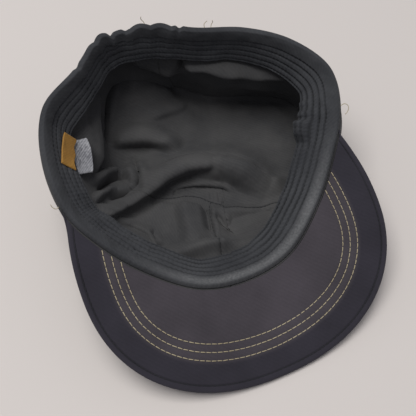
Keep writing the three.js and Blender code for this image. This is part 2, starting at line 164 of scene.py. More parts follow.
def through_points(points, share):
    """A smooth curve through each row's few points, read at shares of its chord length."""
    n, k = points.shape[:2]
    chords = np.linalg.norm(np.diff(points, axis=1), axis=2)
    knots = np.concatenate([np.zeros((n, 1)), np.cumsum(chords, 1)], 1)
    at = np.clip(share, 0, 1)[None, :] * knots[:, -1:]
    seg = np.clip((at[:, :, None] > knots[:, None, 1:-1]).sum(-1), 0, k - 2)
    before, after = np.maximum(np.arange(k) - 1, 0), np.minimum(np.arange(k) + 1, k - 1)
    slope = (points[:, after] - points[:, before]) / (knots[:, after] - knots[:, before])[..., None]
    row = np.arange(n)[:, None]
    h = (knots[row, seg + 1] - knots[row, seg])[..., None]
    u = (at - knots[row, seg])[..., None] / h
    start = points[row, seg] * (2 * u ** 3 - 3 * u * u + 1) + slope[row, seg] * h * (u ** 3 - 2 * u * u + u)
    end = points[row, seg + 1] * (3 * u * u - 2 * u ** 3) + slope[row, seg + 1] * h * (u ** 3 - u * u)
    return start + end


def smooth_path(points, count=25):
    return through_points(np.array([points], float), np.linspace(0, 1, count))[0]


halfway = float(column("rim_x", np.array(2.5)))
print("halfway from station 2 to 3 the rim is at x =", round(halfway, 1), "mm")


# %% [markdown]
# ## The rim
#
# The rim is the edge of the opening. It climbs to the back, and elastic sewn in there gathers it in
# scallops. Band, visor, labels and thread ends are all placed from it, so one function gives its
# place and its directions at any station, and a piece can't drift away from what it is sewn to.

# %% The rim and its directions
def rim_level(x, y):
    return RIM_HEIGHT + RIM_RISE * y + RIM_CURL * x * x


def rim_place(station):
    x, y = column("rim_x", station), column("rim_y", station)
    return np.stack([x, y, rim_level(x, y)], -1)


def rim_frame(station):
    """The rim's place, the outward direction in plan, and the direction down the wall."""
    along = unit(rim_place(station + 0.02) - rim_place(station - 0.02))
    outward = unit(np.stack([along[..., 1], -along[..., 0], 0 * along[..., 0]], -1))
    down = unit(np.array([0, 0, -1.0]) + along * along[..., 2:3])
    return rim_place(station), outward, down


def gather_at(station):
    """Height of the elastic's scallops along the rim."""
    share = (station - GATHER_FROM) / (GATHER_TO - GATHER_FROM)
    wave = (np.abs(np.sin(share * np.pi * GATHER_WAVES)) - 0.5) * ease(share * 5) * ease((1 - share) * 5)
    return np.where((share > 0) & (share < 1), wave, 0)


RIM_POINTS = 720
around = np.linspace(0, COUNT, RIM_POINTS + 1)
rim_length = np.linalg.norm(np.diff(rim_place(around), axis=0), axis=1).sum()
print("the rim is", round(float(rim_length)), "mm round")


# %% [markdown]
# ## Big folds
#
# The crown's cloth was pushed up when the cap was laid down, and stands in an arch and two smaller
# folds. They could be sculpted by hand, but a ridge along a path, with a height and two slopes, is
# easy to move until it falls where the real fold does: the nearer a point lies to the path, the
# more it is lifted.

# %% Distance to a path, and the crown's folds
def near_path(points, path):
    """Distance of every point to a path, the share along it, the way to it, and the path's own way."""
    flat = points.reshape(-1, points.shape[-1])
    best = np.full(len(flat), np.inf)
    share = np.zeros(len(flat))
    offset = np.zeros_like(flat)
    along = np.zeros_like(flat)
    for i in range(len(path) - 1):
        step = path[i + 1] - path[i]
        t = np.clip((flat - path[i]) @ step / (step @ step), 0, 1)
        gap = flat - path[i] - t[:, None] * step
        distance = np.linalg.norm(gap, axis=1)
        near = distance < best
        best[near] = distance[near]
        share[near] = (i + t[near]) / (len(path) - 1)
        offset[near] = gap[near]
        along[near] = step
    flat_shape = points.shape[:-1]
    vectors = offset.reshape(points.shape), along.reshape(points.shape)
    return best.reshape(flat_shape), share.reshape(flat_shape), *vectors


def fold_lift(x, y):
    """Height that the crown's big folds add at a place in plan."""
    lift = np.zeros_like(x)
    for points, height, left, right in CROWN_FOLDS:
        distance, share, offset, along = near_path(np.stack([x, y], -1), smooth_path(points))
        on_left = along[..., 0] * offset[..., 1] - along[..., 1] * offset[..., 0] > 0
        ends = ease(share / 0.2) * ease((1 - share) / 0.2)
        lift += height * bell(distance / np.where(on_left, left, right)) * ends
    return lift


arch_top = fold_lift(np.array([1.0]), np.array([28.0]))[0]
print("the arch lifts the crown by", round(float(arch_top), 1), "mm at its middle")


# %% [markdown]
# ## The middle of the cloth
#
# One function gives the middle of the cloth everywhere: level 0 is the rim, 1 the crown seam and 2
# the middle of the crown. The walls and the crown could be separate grids, but then a fold that
# crosses the seam would have to be matched by hand.

# %% Cloth by station and level
def cloth(station, level):
    """The middle of the cloth for each station (first axis) and level (second axis), in millimetres."""
    point, outward, down = rim_frame(station)
    foot = np.stack([column(k, station) for k in ("foot_x", "foot_y", "foot_z")], -1)
    made = np.empty((len(station), len(level), 3))
    wall, crown = level[level <= 1], level[level > 1]
    if len(wall):
        stand = outward * (EDGE_STAND + EDGE_CLOTH / 2)
        rows = [point + stand + down * EDGE_DROP, point + stand + down * EDGE_STRAIGHT]
        for share, out, height in ((UPPER_SHARE, "up_out", "up_z"), (LOWER_SHARE, "low_out", "low_z")):
            place = point + (foot - point) * share + outward * column(out, station)[:, None]
            place[:, 2] = column(height, station)
            rows.append(place)
        place = through_points(np.stack([*rows, foot], 1), wall)
        wave = gather_at(station)[:, None] * (1 - ease(wall * WALL_LENGTH / GATHER_DEPTH))
        place += wave[..., None] * (outward[:, None] * GATHER_OUT + np.array([0, 0, GATHER_UP]))
        held = ease((wall - FOLD_START) / (FOLD_FULL - FOLD_START)) * SEAM_HOLD
        place[..., 2] += fold_lift(place[..., 0], place[..., 1]) * held
        made[:, level <= 1] = place
    if len(crown):
        k = crown[None, :] - 1
        x = foot[:, :1] * (1 - k) + CROWN_CENTRE[0] * k
        y = foot[:, 1:2] * (1 - k) + CROWN_CENTRE[1] * k
        low = np.minimum(foot[:, 2:], SEAM_HEIGHT)
        seam = (low - CLOTH / 2) * np.maximum(0, 1 - k / SEAM_ROUND) ** 2
        slope = (foot[:, 2:] - low) * ease(1 - k / CORNER_REACH)
        lift = fold_lift(x, y) * (SEAM_HOLD + (1 - SEAM_HOLD) * ease(k / SEAM_REACH))
        made[:, level > 1] = np.stack([x, y, CLOTH / 2 + seam + slope + lift], -1)
    return made


def out_of_cloth(middle):
    """Directions square to a closed grid of cloth points, out of the hollow."""
    along = np.roll(middle, -1, 0) - np.roll(middle, 1, 0)
    across = np.gradient(middle, axis=1)
    return -unit(np.cross(along, across))


def wall_fold_height(station, level):
    total = np.zeros((len(station), len(level)))
    for middle, reach, at_level, width, height in WALL_FOLDS:
        near = bell(apart(station, middle) / reach)[:, None]
        total += height * near * bell((level - at_level) / width)[None, :]
    return total


corners = cloth(np.arange(COUNT), np.array([0.0, 1.0]))
print("the crown seam lies up to", round(float(corners[:, 1, 2].max()), 1), "mm above the floor")

# %% [markdown]
# ## From the shape's own origin to the frame
#
# The sizes above count from the middle of the visor. The frame's origin is on the floor under the
# middle of the whole cap. The visor's box in the frame says how far apart the two are, so nothing
# has to be typed in twice.

# %% Shift into the frame
VISOR_TIP_Y = -135.3
visor_low, visor_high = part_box("visor")
SHIFT = np.array([(visor_low.x + visor_high.x) / 2 / MM, visor_low.y / MM - VISOR_TIP_Y, 0])
print("shift in mm:", np.round(SHIFT, 2))


def to_frame(points):
    return (np.asarray(points, float) + SHIFT) * MM


# %% [markdown]
# ## From rings of points to a closed mesh
#
# Each piece of cloth is a closed skin with a real thickness. It is worked out as rings of points,
# one behind another, as a knitter counts rounds. A Solidify modifier could give the thickness too,
# but rings let the edge be thin and the roll thick, and keep a face's place in the weave known.

# %% Skin, volume and new pieces
def skin(rings, ends):
    """Faces over rings of points. The ends are closed by a strip or by a fan, or joined together."""
    count, size = rings.shape[:2]
    places = rings.reshape(-1, 3)
    ring = np.arange(count if ends == "joined" else count - 1)[:, None] * size
    i = np.arange(size)[None, :]
    j = (i + 1) % size
    following = (ring + size) % (count * size)
    faces = np.stack([ring + i, ring + j, following + j, following + i], -1).reshape(-1, 4).tolist()
    last = (count - 1) * size
    if ends == "fan":
        for base, turned in ((0, False), (last, True)):
            tip = len(places)
            places = np.vstack([places, rings[base // size].mean(0)])
            for k in range(size):
                a, b = base + k, base + (k + 1) % size
                faces.append([tip, a, b] if turned else [tip, b, a])
    if ends == "strip":
        for k in range(size // 2 - 1):
            faces.append([k, size - 1 - k, size - 2 - k, k + 1])
            faces.append([last + k, last + k + 1, last + size - 2 - k, last + size - 1 - k])
    return places, faces


def signed_volume(mesh):
    """The mesh's volume in cubic metres, negative where its faces point inwards."""
    mesh.calc_loop_triangles()
    corners = np.empty(len(mesh.loop_triangles) * 3, int)
    mesh.loop_triangles.foreach_get("vertices", corners)
    places = np.empty(len(mesh.vertices) * 3)
    mesh.vertices.foreach_get("co", places)
    a, b, c = (places.reshape(-1, 3)[corners.reshape(-1, 3)[:, k]] for k in range(3))
    return float((a * np.cross(b, c)).sum() / 6)


def new_piece(name, places, faces, uv, extra=None):
    """A smooth mesh object in the frame. uv and the extra values are given point by point."""
    mesh = bpy.data.meshes.new(name)
    mesh.from_pydata(to_frame(places).tolist(), [], faces)
    corners = np.empty(len(mesh.loops), int)
    mesh.loops.foreach_get("vertex_index", corners)
    layer = mesh.uv_layers.new(name="cloth")
    layer.data.foreach_set("uv", uv[corners].astype(np.float32).ravel())
    for key, values in (extra or {}).items():
        attribute = mesh.attributes.new(key, "FLOAT", "POINT")
        attribute.data.foreach_set("value", np.asarray(values, np.float32))
    mesh.validate()
    volume = signed_volume(mesh)
    if volume < 0:
        mesh.flip_normals()
    mesh.polygons.foreach_set("use_smooth", [True] * len(mesh.polygons))
    made = bpy.data.objects.new(name, mesh)
    bpy.context.scene.collection.objects.link(made)
    triangles = sum(len(p.vertices) - 2 for p in mesh.polygons)
    print(f"{name}: {triangles} triangles, {abs(volume) * 1e6:.1f} cubic centimetres")
    return made


print("four rings of six points make", len(skin(np.zeros((4, 6, 3)), "strip")[1]), "faces")

# %% [markdown]
# ## Creases inside the cap
#
# The cap was dropped on its crown, so the cloth inside lies in folds. The three big ones are part of
# the shape above. The smaller creases are drawn here the same way, each as a path of stations and
# levels, seen from inside the hollow: its height (negative for a valley), the reach of the slope on
# the path's left and on its right, and how far the crest leans over to the right. A short reach
# makes a hard shadow, a long one a soft swelling.

# %% Table of creases
CREASES = [
    ("arch", 7, 9, 8, 4,
     [(14.55, 0.25), (14.52, 0.39), (14.55, 0.6), (14.83, 0.84), (15.02, 0.93), (15.1, 1.05),
      (15.1, 1.17), (15.12, 1.28), (15.28, 1.42), (15.65, 1.52), (16.67, 1.57), (17.6, 1.57),
      (18.2, 1.55)]),
    ("arch's right", 6, 6, 20, 0,
     [(16.3, 1.56), (17.0, 1.57), (17.83, 1.57), (18.67, 1.51), (19.12, 1.45), (19.5, 1.37), (20.0, 1.28),
      (20.4, 1.18)]),
    ("under the arch", -4, 6, 8, 0,
     [(14.8, 0.64), (14.95, 0.76), (15.25, 0.85), (15.55, 0.96), (15.58, 1.12), (15.65, 1.28), (16.2, 1.42),
      (17.1, 1.46)]),
    ("behind the arch", -4.5, 5, 3, 0,
     [(14.38, 1.35), (14.3, 1.46), (14.42, 1.55), (15.07, 1.67), (17.22, 1.7), (18.57, 1.67), (19.3, 1.61),
      (19.72, 1.52), (19.9, 1.44), (19.9, 1.38)]),
    ("right line", 2, 3, 4, 1, [(19.45, 1.35), (19.9, 1.36), (20.25, 1.29), (20.4, 1.2)]),
    ("wrinkle 1", 1, 2, 2, 0, [(17.35, 1.31), (17.42, 1.24), (17.52, 1.13)]),
    ("wrinkle 2", 1.2, 2, 2, 0, [(17.67, 1.3), (17.75, 1.2), (17.8, 1.1)]),
    ("wrinkle 3", 1, 2, 2, 0, [(17.95, 1.29), (17.98, 1.19), (18.05, 1.08)]),
    ("left shelf", 11, 7, 24, 0,
     [(10.85, 0.45), (11.05, 0.52), (11.45, 0.66), (11.85, 0.73), (12.28, 0.75), (12.7, 0.74),
      (13.13, 0.69), (13.45, 0.6)]),
    ("left slope", 8, 14, 16, 0,
     [(11.1, 0.4), (11.5, 0.46), (11.93, 0.53), (12.3, 0.55), (12.73, 0.54), (13.17, 0.48), (13.4, 0.42)]),
    ("upper swell", 6, 18, 22, 0, [(10.5, 0.93), (10.1, 1.03), (9.5, 1.03), (8.95, 1.0)]),
    ("pocket", 3, 4, 3, 1,
     [(15.88, 1.19), (15.77, 1.24), (15.88, 1.3), (16.15, 1.35), (16.85, 1.38), (17.6, 1.38), (18.1, 1.35),
      (18.35, 1.26), (18.48, 1.16)]),
    ("pocket mouth", -2, 2, 2, 0, [(15.85, 1.25), (15.95, 1.21), (16.07, 1.18)]),
    ("left bulge", 6, 18, 7, 1.5,
     [(12.7, 0.97), (12.6, 1.15), (12.52, 1.3), (12.55, 1.42), (12.9, 1.52), (13.7, 1.58)]),
    ("below the bulge", -2.5, 4, 8, 0,
     [(12.88, 1.05), (12.88, 1.2), (12.84, 1.3), (12.86, 1.38), (13.1, 1.48), (13.6, 1.55), (14.0, 1.6)]),
    ("left line", -3.5, 3.5, 4.5, 0,
     [(10.45, 0.87), (10.87, 0.99), (11.4, 1.0), (12.0, 1.0), (12.55, 1.0), (12.83, 1.02)]),
    ("left line ridge", 2, 5, 5, 0,
     [(10.4, 0.85), (11.08, 1.04), (11.5, 1.04), (11.88, 1.03), (12.2, 1.02)]),
    ("diagonal", 3, 12, 6, 1, [(11.4, 1.33), (10.83, 1.4), (10.25, 1.41), (9.6, 1.37), (8.95, 1.21)]),
    ("back ledge", 13, 26, 5, 4,
     [(8.6, 0.38), (8.35, 0.44), (8.0, 0.45), (7.6, 0.5), (7.1, 0.51), (6.7, 0.51), (6.3, 0.47),
      (5.9, 0.41), (5.4, 0.35)]),
    ("back lobe", 9, 18, 6, 3,
     [(9.8, 0.42), (9.4, 0.46), (9.2, 0.51), (9.0, 0.55), (8.8, 0.59), (8.5, 0.59)]),
    ("lobe notch", -4, 3, 3, 0, [(8.55, 0.42), (8.56, 0.5), (8.6, 0.6)]),
    ("tongue top", 6, 7, 5, 0,
     [(13.5, 0.5), (13.57, 0.67), (13.6, 0.83), (13.82, 1.0), (14.2, 1.11), (14.65, 1.09), (14.85, 1.04)]),
    ("tongue lip", 5, 4, 4, 0, [(14.07, 0.38), (13.97, 0.62), (14.07, 0.78), (14.6, 0.93), (14.87, 0.99)]),
    ("tongue groove", -6, 4, 4, 0,
     [(13.88, 0.61), (13.82, 0.74), (13.83, 0.85), (13.95, 0.96), (14.03, 1.03), (14.22, 1.07)]),
    ("beside the tongue", -6, 3.5, 4, 0,
     [(13.03, 1.2), (13.32, 1.21), (14.17, 1.17), (14.58, 1.13), (14.85, 1.07), (14.9, 0.99), (14.6, 0.88),
      (14.33, 0.77), (14.28, 0.67)]),
    ("shoulder", 3, 8, 4, 2,
     [(14.8, 0.5), (15.13, 0.63), (15.52, 0.67), (15.8, 0.66), (15.95, 0.57), (16.08, 0.45), (16.2, 0.33)]),
    ("shoulder shade", -3, 3, 3, 0, [(15.85, 0.72), (15.97, 0.65), (16.1, 0.56)]),
    ("front crease", -3, 4, 4, 0, [(16.1, 0.54), (16.23, 0.46), (16.35, 0.35)]),
    ("front tuck", 6, 12, 7, 1,
     [(16.17, 0.34), (16.45, 0.44), (16.78, 0.51), (17.1, 0.55), (17.42, 0.57), (17.72, 0.57),
      (17.97, 0.58), (18.13, 0.58)]),
    ("tuck line", -1.5, 2, 2, 0, [(17.05, 0.61), (17.3, 0.64), (17.6, 0.65)]),
    ("seam pleat", -10, 5, 3, 0,
     [(17.72, 0.96), (17.78, 0.89), (17.87, 0.82), (18.03, 0.76), (18.18, 0.68)]),
    ("left of the seam", -9, 5, 7, 0, [(17.45, 1.11), (17.53, 0.93), (17.52, 0.82), (17.48, 0.7)]),
    ("front swelling", 8, 24, 10, 0,
     [(16.8, 1.1), (16.86, 0.98), (16.9, 0.85), (16.92, 0.73), (16.93, 0.52)]),
    ("front hollow", -7, 18, 7, 0,
     [(17.8, 0.78), (18.12, 0.77), (18.52, 0.8), (18.9, 0.85), (19.3, 0.88)]),
]
CREASE_FADE = 15          # a crease rises and fades over this much of its length, or a quarter of it
for name, height, left, right, lean, path in CREASES:
    print(f"{name}: height {height} mm, reach {left} and {right} mm, leaning {lean} mm")


# %% [markdown]
# ## How creases and crumples move the cloth
#
# Real creases run into each other. Heights that are simply added would pile up where two ridges
# meet, so their cubes are added and the cube root is taken. Between the creases washed cotton is
# never flat: a seeded smooth noise gives it low swellings, and the same ones in every run.

# %% Noise and the crease field
def soft_noise(places, size, seed):
    """Smooth values from -1 to 1 that change over about size, the same for the same seed."""
    table = np.random.default_rng(seed).uniform(-1, 1, (32, 32, 32))
    at = np.asarray(places) / size
    whole = np.floor(at).astype(int)
    t = ease(at - whole)
    value = 0
    for corner in range(8):
        offset = np.array([corner & 1, corner >> 1 & 1, corner >> 2 & 1])
        weight = np.prod(np.where(offset, t, 1 - t), -1)
        value = value + weight * table[tuple(((whole + offset) % 32)[..., k] for k in range(3))]
    return value


def crease_path(points):
    station, level = np.array(points, float).T
    middle = np.concatenate([cloth(np.array([s]), np.array([v]))[0] for s, v in zip(station, level)])
    return smooth_path(middle, 6 * len(points))


def crease_shift(places, inward):
    """How all creases move each place of the cloth: towards the hollow, and over to their right."""
    ridge, valley = np.full(places.shape[:2], 1e-6), np.full(places.shape[:2], 1e-6)
    over = np.zeros_like(places)
    for _, height, left, right, lean, points in CREASES:
        path = crease_path(points)
        distance, share, offset, along = near_path(places, path)
        leftward = unit(np.cross(inward, along))
        on_left = (leftward * offset).sum(-1) > 0
        fade = min(CREASE_FADE / np.linalg.norm(np.diff(path, axis=0), axis=1).sum(), 0.25)
        ends = ease(share / fade) * ease((1 - share) / fade)
        shape = bell(distance / np.where(on_left, left, right)) * ends
        if height > 0:
            ridge += (height * shape) ** 3
        else:
            valley += (-height * shape) ** 3
        over -= leftward * (lean * shape ** 2)[..., None]
    return inward * (np.cbrt(ridge) - np.cbrt(valley))[..., None] + over


crease_lengths = [np.linalg.norm(np.diff(crease_path(row[-1]), axis=0), axis=1).sum() for row in CREASES]
print(len(CREASES), "creases,", round(float(sum(crease_lengths))), "mm long in all")


# %% [markdown]
# ## One grid for walls and crown
#
# The whole inside is worked out as one grid of cloth, so that a fold runs on across a seam. Then it
# is cut along the seams into the two side walls and the crown, as the real pieces are. Separate
# grids would be simpler, but their folds would end at the seams.

# %% The grid's stations and levels
PER_STATION = 40
WALL_ROWS, CROWN_ROWS = 97, 60
stations = np.arange(COUNT * PER_STATION) / PER_STATION
wall_levels = np.linspace(0, 1, WALL_ROWS)
crown_levels = 1 + 0.96 * np.linspace(0, 1, CROWN_ROWS)[1:] ** 1.1
levels = np.concatenate([wall_levels, crown_levels])
print("grid of cloth:", len(stations), "by", len(levels), "points")

# %% [markdown]
# ## Seams and gathers
#
# Beside a seam the cloth sinks into the stitched line and swells next to it. At the front right the
# crown seam is drawn up the wall, and the elastic pulls the back edge into a few sharp notches. All
# of these are moves of the finished grid, because they happen to cloth that is already creased.

# %% What seams and gathers do to the cloth
# how far the crown seam is drawn up at each station, in levels, and how far from it the cloth follows
SEAM_PULL = [(14.9, 0), (15.6, 0.1), (16.5, 0.19), (16.8, 0.19), (17.2, 0.17), (17.6, 0.11),
             (18.05, 0.06), (18.5, 0)]
SEAM_PULL_REACH = 0.55
# sharp notches in the gathered edge: station, half width in stations, depth
PINCHES = [(8.37, 0.09, 2.2), (9.49, 0.09, 1.6), (9.65, 0.5, 3.2), (9.83, 0.1, 1.6), (10.9, 0.12, 1.5)]
PINCH_DEPTH = 14          # the notches fade out over this much cloth below the rim
RIM_LENGTH = 590          # the rim's length in round figures, for distances and for the weave


def seam_sink(distance, depth=0.7, width=0.7, swell=0.35):
    """Depth of the cloth beside a seam: a narrow groove with a low swelling next to it."""
    groove = -depth * np.exp(-(distance / width) ** 2)
    return groove + swell * np.exp(-((np.abs(distance) - 3) / 1.4) ** 2)


def averaged(vectors, reach):
    """Directions averaged over their neighbours, so that a crease keeps its shape round a corner."""
    total = sum(np.roll(vectors, k, 0) for k in range(-reach, reach + 1))
    padded = np.pad(total, ((0, 0), (reach, reach), (0, 0)), mode="edge")
    return unit(sum(padded[:, k:k + vectors.shape[1]] for k in range(2 * reach + 1)))


def drawn_to_seam(places):
    """Slides the rows of the grid over the cloth until its seam row lies where the crown seam runs."""
    pulled = np.interp(stations, *zip(*SEAM_PULL))
    slid = np.empty_like(places)
    for i in range(len(stations)):
        rows = levels + pulled[i] * bell((levels - 1) / SEAM_PULL_REACH)
        for k in range(3):
            slid[i, :, k] = np.interp(rows, levels, places[i, :, k])
    return slid


def pinched(station, depth):
    """How far the gathered edge is drawn down into sharp notches, less and less below the rim."""
    drawn = sum(deep * bell((station - at) / reach) for at, reach, deep in PINCHES)
    return (drawn[:, None] * (1 - ease(depth / PINCH_DEPTH)))[..., None] * rim_frame(station)[2][:, None]


def from_seam(seam):
    """Distance along the cloth from an upright seam, for every point of the grid."""
    narrowing = np.clip(1.3 - levels / 2, 0.3, 1)[None, :]
    return apart(stations, seam)[:, None] * RIM_LENGTH / COUNT * narrowing


print("a seam's groove is", round(float(-seam_sink(np.zeros(1))[0]), 2), "mm deep")

# %% [markdown]
# ## The finished cloth
#
# The creases start under the sweatband, which holds the cloth flat. Washing leaves low swellings a
# few centimetres wide and crumples of a few millimetres, which a smooth noise gives at three sizes.
# The crown seam lies flat and clear at the front right and is softer everywhere else.

# %% Creased, crumpled and sewn
CREASE_FROM, CREASE_EASE = 0.3, 0.14      # the creases start at this level, and are whole so much lower
WASHED = [(1.2, 26, 3), (0.6, 11, 4), (0.3, 4.5, 5)]      # height and width in mm, and the seed


def fine_cloth():
    middle = cloth(stations, levels)
    out = out_of_cloth(middle)
    wall_part = levels <= 1
    lift = np.zeros(middle.shape[:2])
    lift[:, wall_part] += wall_fold_height(stations, wall_levels)
    below_band = ease((levels - CREASE_FROM) / CREASE_EASE)[None, :, None]
    creased = middle + crease_shift(middle, -averaged(out, 8)) * below_band
    edge_hold = ease(np.minimum(levels / 0.12, 1))[None, :]
    for height, width, seed in WASHED:
        lift += height * soft_noise(middle, width, seed) * edge_hold
    return drawn_to_seam(creased - out * lift[..., None]) + pinched(stations, levels * WALL_LENGTH)


cloth_middle = fine_cloth()
cloth_out = out_of_cloth(cloth_middle)
cloth_across = np.linalg.norm(np.diff(cloth_middle, axis=1), axis=2).mean(0)
cloth_across = np.concatenate([[0], np.cumsum(cloth_across)])
crown_distance = np.abs(cloth_across - cloth_across[WALL_ROWS - 1])[None, :]
# clear at the front right, and soft everywhere else
seam_clear = (0.25 + 0.75 * ease((4.5 - apart(stations, 1)) / 2))[:, None]
seam_lift = seam_sink(crown_distance) * seam_clear
seam_lift += (seam_sink(from_seam(FRONT_SEAM)) + 0.4 * seam_sink(from_seam(BACK_SEAM))) * (levels <= 1)
cloth_middle -= cloth_out * seam_lift[..., None]
cloth_middle[..., 2] = np.maximum(cloth_middle[..., 2], CLOTH / 2 + 0.02)
seam_line = np.maximum(seam_clear * np.exp(-(crown_distance / 0.8) ** 2),
                       np.exp(-(from_seam(FRONT_SEAM) / 0.8) ** 2) * (levels <= 1))
print("lowest point of the cloth's middle:", round(float(cloth_middle[..., 2].min()), 2), "mm")


def on_grid(grid, station, level):
    """Reads a finished grid between its points."""
    row = np.asarray(station) * PER_STATION
    column_at = np.interp(level, levels, np.arange(len(levels)))
    row, column_at = np.broadcast_arrays(row, column_at)
    i, j = np.floor(row).astype(int), np.minimum(column_at.astype(int), len(levels) - 2)
    u, v = (row - i)[..., None], (column_at - j)[..., None]
    i, after = i % len(stations), (i + 1) % len(stations)
    return ((1 - u) * ((1 - v) * grid[i, j] + v * grid[i, j + 1])
            + u * ((1 - v) * grid[after, j] + v * grid[after, j + 1]))


# %% [markdown]
# ## Side walls and crown
#
# Now the grid is cut where the real pieces are sewn together: two side walls from the front seam to
# the back seam, and the crown. Each gets its thickness along the cloth's own directions, thinner at
# the rim where only one layer is turned in, and its weave is counted from the seams.

# %% Cut the grid into side walls and crown
half_cloth = (EDGE_CLOTH + (CLOTH - EDGE_CLOTH) * ease((levels - 0.07) / 0.1)) / 2


def side_wall(name, start, stop):
    """One half of the wall, from seam to seam."""
    first, last = round(start * PER_STATION), round(stop * PER_STATION)
    picked = np.arange(first, last + 1) % len(stations)
    middle, out = cloth_middle[picked][:, :WALL_ROWS], cloth_out[picked][:, :WALL_ROWS]
    half = half_cloth[None, :WALL_ROWS, None]
    rings = np.concatenate([middle + out * half, (middle - out * half)[:, ::-1]], 1)
    places, faces = skin(rings, "strip")
    run = (np.arange(len(picked)) / PER_STATION * RIM_LENGTH / COUNT)[:, None]
    uv = np.stack(np.broadcast_arrays(run, cloth_across[None, :WALL_ROWS]), -1) * MM
    uv = np.concatenate([uv, uv[:, ::-1]], 1).reshape(-1, 2)
    line = seam_line[picked][:, :WALL_ROWS]
    return new_piece(name, places, faces, uv, {"line": np.concatenate([line, 0 * line], 1).ravel()})


def crown():
    rows = slice(WALL_ROWS - 1, None)
    middle, out = cloth_middle[:, rows], cloth_out[:, rows]
    inside = (middle - out * CLOTH / 2).transpose(1, 0, 2)[::-1]
    outside = (middle + out * CLOTH / 2).transpose(1, 0, 2)
    places, faces = skin(np.concatenate([inside, outside]), "fan")
    places[:, 2] = np.maximum(places[:, 2], 0.02)
    line = seam_line[:, rows].T[::-1]
    line = np.concatenate([line.ravel(), 0 * line.ravel(), [0, 0]])
    return new_piece("crown_panel", places, faces, places[:, :2] * MM, {"line": line})


wall_right = side_wall("side_wall_twill_right", FRONT_SEAM - COUNT, BACK_SEAM)
wall_left = side_wall("side_wall_twill_left", BACK_SEAM, FRONT_SEAM)
crown_panel = crown()

# %% [markdown]
# ## Sweatband
#
# The sweatband is a folded tape: next to the visor it has a smooth rolled edge, and the rest is
# pressed into ribs by rows of stitches. Its cross-section is one curve over the depth from the rim,
# swept round the opening. Each stitched line is a narrow valley, and the cloth beside it puckers at
# the stitch's pitch.

# %% Sweatband profile
BAND_CLOTH = 1.7          # thickness of the flat tape
BAND_EDGE_CLOTH = 0.9     # and at its free edge
BAND_ROLL = 8             # depth of the smooth rolled edge
BAND_ROLL_CLOTH = 3       # and its thickness
BAND_LINES = [8.6, 13.2, 17.8, 22.4, 26.4]      # depths of the stitched lines
BAND_GROOVE, BAND_GROOVE_WIDTH = 1.35, 0.65
BAND_STITCH = 3.2         # pitch of the stitches and of the puckers
BAND_ROWS = 76
# the rolled edge hangs over the wall's raw edge: its section's depth and height, from inside out
BAND_LIP = [(0, 2.6), (-0.8, 2.1), (-1.5, 1.2), (-1.8, 0.1),
            (-1.5, -0.8), (-0.7, -1.3), (0.2, -1.1), (0.9, -0.5)]


def band_point(station, depth):
    """The sweatband's back face, for each station and each depth from the rim."""
    point, outward, down = rim_frame(station)
    lean = (column("lean", station) / BAND_WIDTH)[:, None, None]
    run = depth[None, :, None]
    wave = gather_at(station)[:, None] * (1 - ease(depth / GATHER_DEPTH))[None, :]
    place = point[:, None] - outward[:, None] * lean * run + down[:, None] * np.sqrt(1 - lean ** 2) * run
    return place + wave[..., None] * (outward[:, None] * GATHER_OUT + np.array([0, 0, GATHER_UP]))


def band_facing(station):
    across = band_point(station, np.array([0.0, BAND_WIDTH]))
    middle = np.array([BAND_WIDTH / 2])
    along = band_point(station + 0.03, middle) - band_point(station - 0.03, middle)
    return unit(np.cross(along[:, 0], across[:, 1] - across[:, 0]))


def band_raise(depth):
    """How far the face lies in front of the back: rolled edge, then ribs between the stitched lines."""
    roll = BAND_ROLL_CLOTH * (0.87 + 0.13 * np.sin(np.clip(depth / BAND_ROLL, 0, 1) * np.pi) ** 0.6)
    ribs = np.full_like(depth, BAND_CLOTH + BAND_EDGE_CLOTH)
    for line in BAND_LINES:
        ribs = ribs - BAND_GROOVE * np.exp(-((depth - line) / BAND_GROOVE_WIDTH) ** 2)
    free_edge = ease((BAND_WIDTH - depth) / 1.2)
    return np.where(depth < BAND_ROLL, roll, BAND_EDGE_CLOTH + (ribs - BAND_EDGE_CLOTH) * free_edge)


heights = band_raise(np.array([4.0, BAND_LINES[1], 15.5]))
print("the band's roll, line and rib rise", np.round(heights, 2), "mm")


# %% [markdown]
# ## Wear of the sweatband
#
# A worn band is never even. The elastic and the washing leave slack and crumples, and at the right
# the tape has slipped and stands into the hollow. Over the visor the roll is painted pale, partly as
# wear from the forehead and partly as a painted highlight. These are given by station, so each can
# be moved along the rim without touching the profile.

# %% Puckers, crumples and a slipped fold
BAND_CRUMPLES = [(14.9, 1.7), (4.1, 0.9)]      # where the tape is crumpled: station and reach
BAND_CRUMPLE = 1.6
SLIP_STATION, SLIP_REACH, SLIP_HEIGHT = 3.6, 0.42, 8.5


def band_slack(run, depth, places, crumple):
    """Puckers along the stitched lines, and the slack of a worn tape."""
    total = (0.4 * soft_noise(places, 9, 11) + 0.25 * soft_noise(places, 4.5, 12)) * crumple
    for line in BAND_LINES:
        near = np.exp(-((depth - line) / 2.0) ** 2)
        total = total + 0.2 * near * np.cos(run / BAND_STITCH * 2 * np.pi)
    return total


def band_bulge(station, depth):
    """The slipped fold at the right, and the slack along the tape's free edge."""
    near_slip = bell((station - SLIP_STATION) / SLIP_REACH)[:, None]
    slipped = SLIP_HEIGHT * near_slip * ease((depth - 14) / 10)[None, :]
    ripple = 1.8 * np.sin(station * 19) * bell((station - 3.9) / 0.9)
    slack = 0.8 * soft_noise(np.stack([station * 3.0, 0 * station, 0 * station], -1), 1.0, 13)
    return slipped + (ripple + slack)[:, None] * ease((depth - 10) / 18)[None, :] ** 2


slip = band_bulge(np.array([SLIP_STATION]), np.array([BAND_WIDTH]))[0, 0]
print("at its free edge the slipped fold stands out by", round(float(slip), 1), "mm")


# %% [markdown]
# ## The sweatband's sweep
#
# The section is now swept round the opening: the lip that hangs over the wall's edge, the ribbed
# face and the flat back are joined into one closed ring at every station. A bevelled curve would do
# for an even band, but here the section changes all the way round.

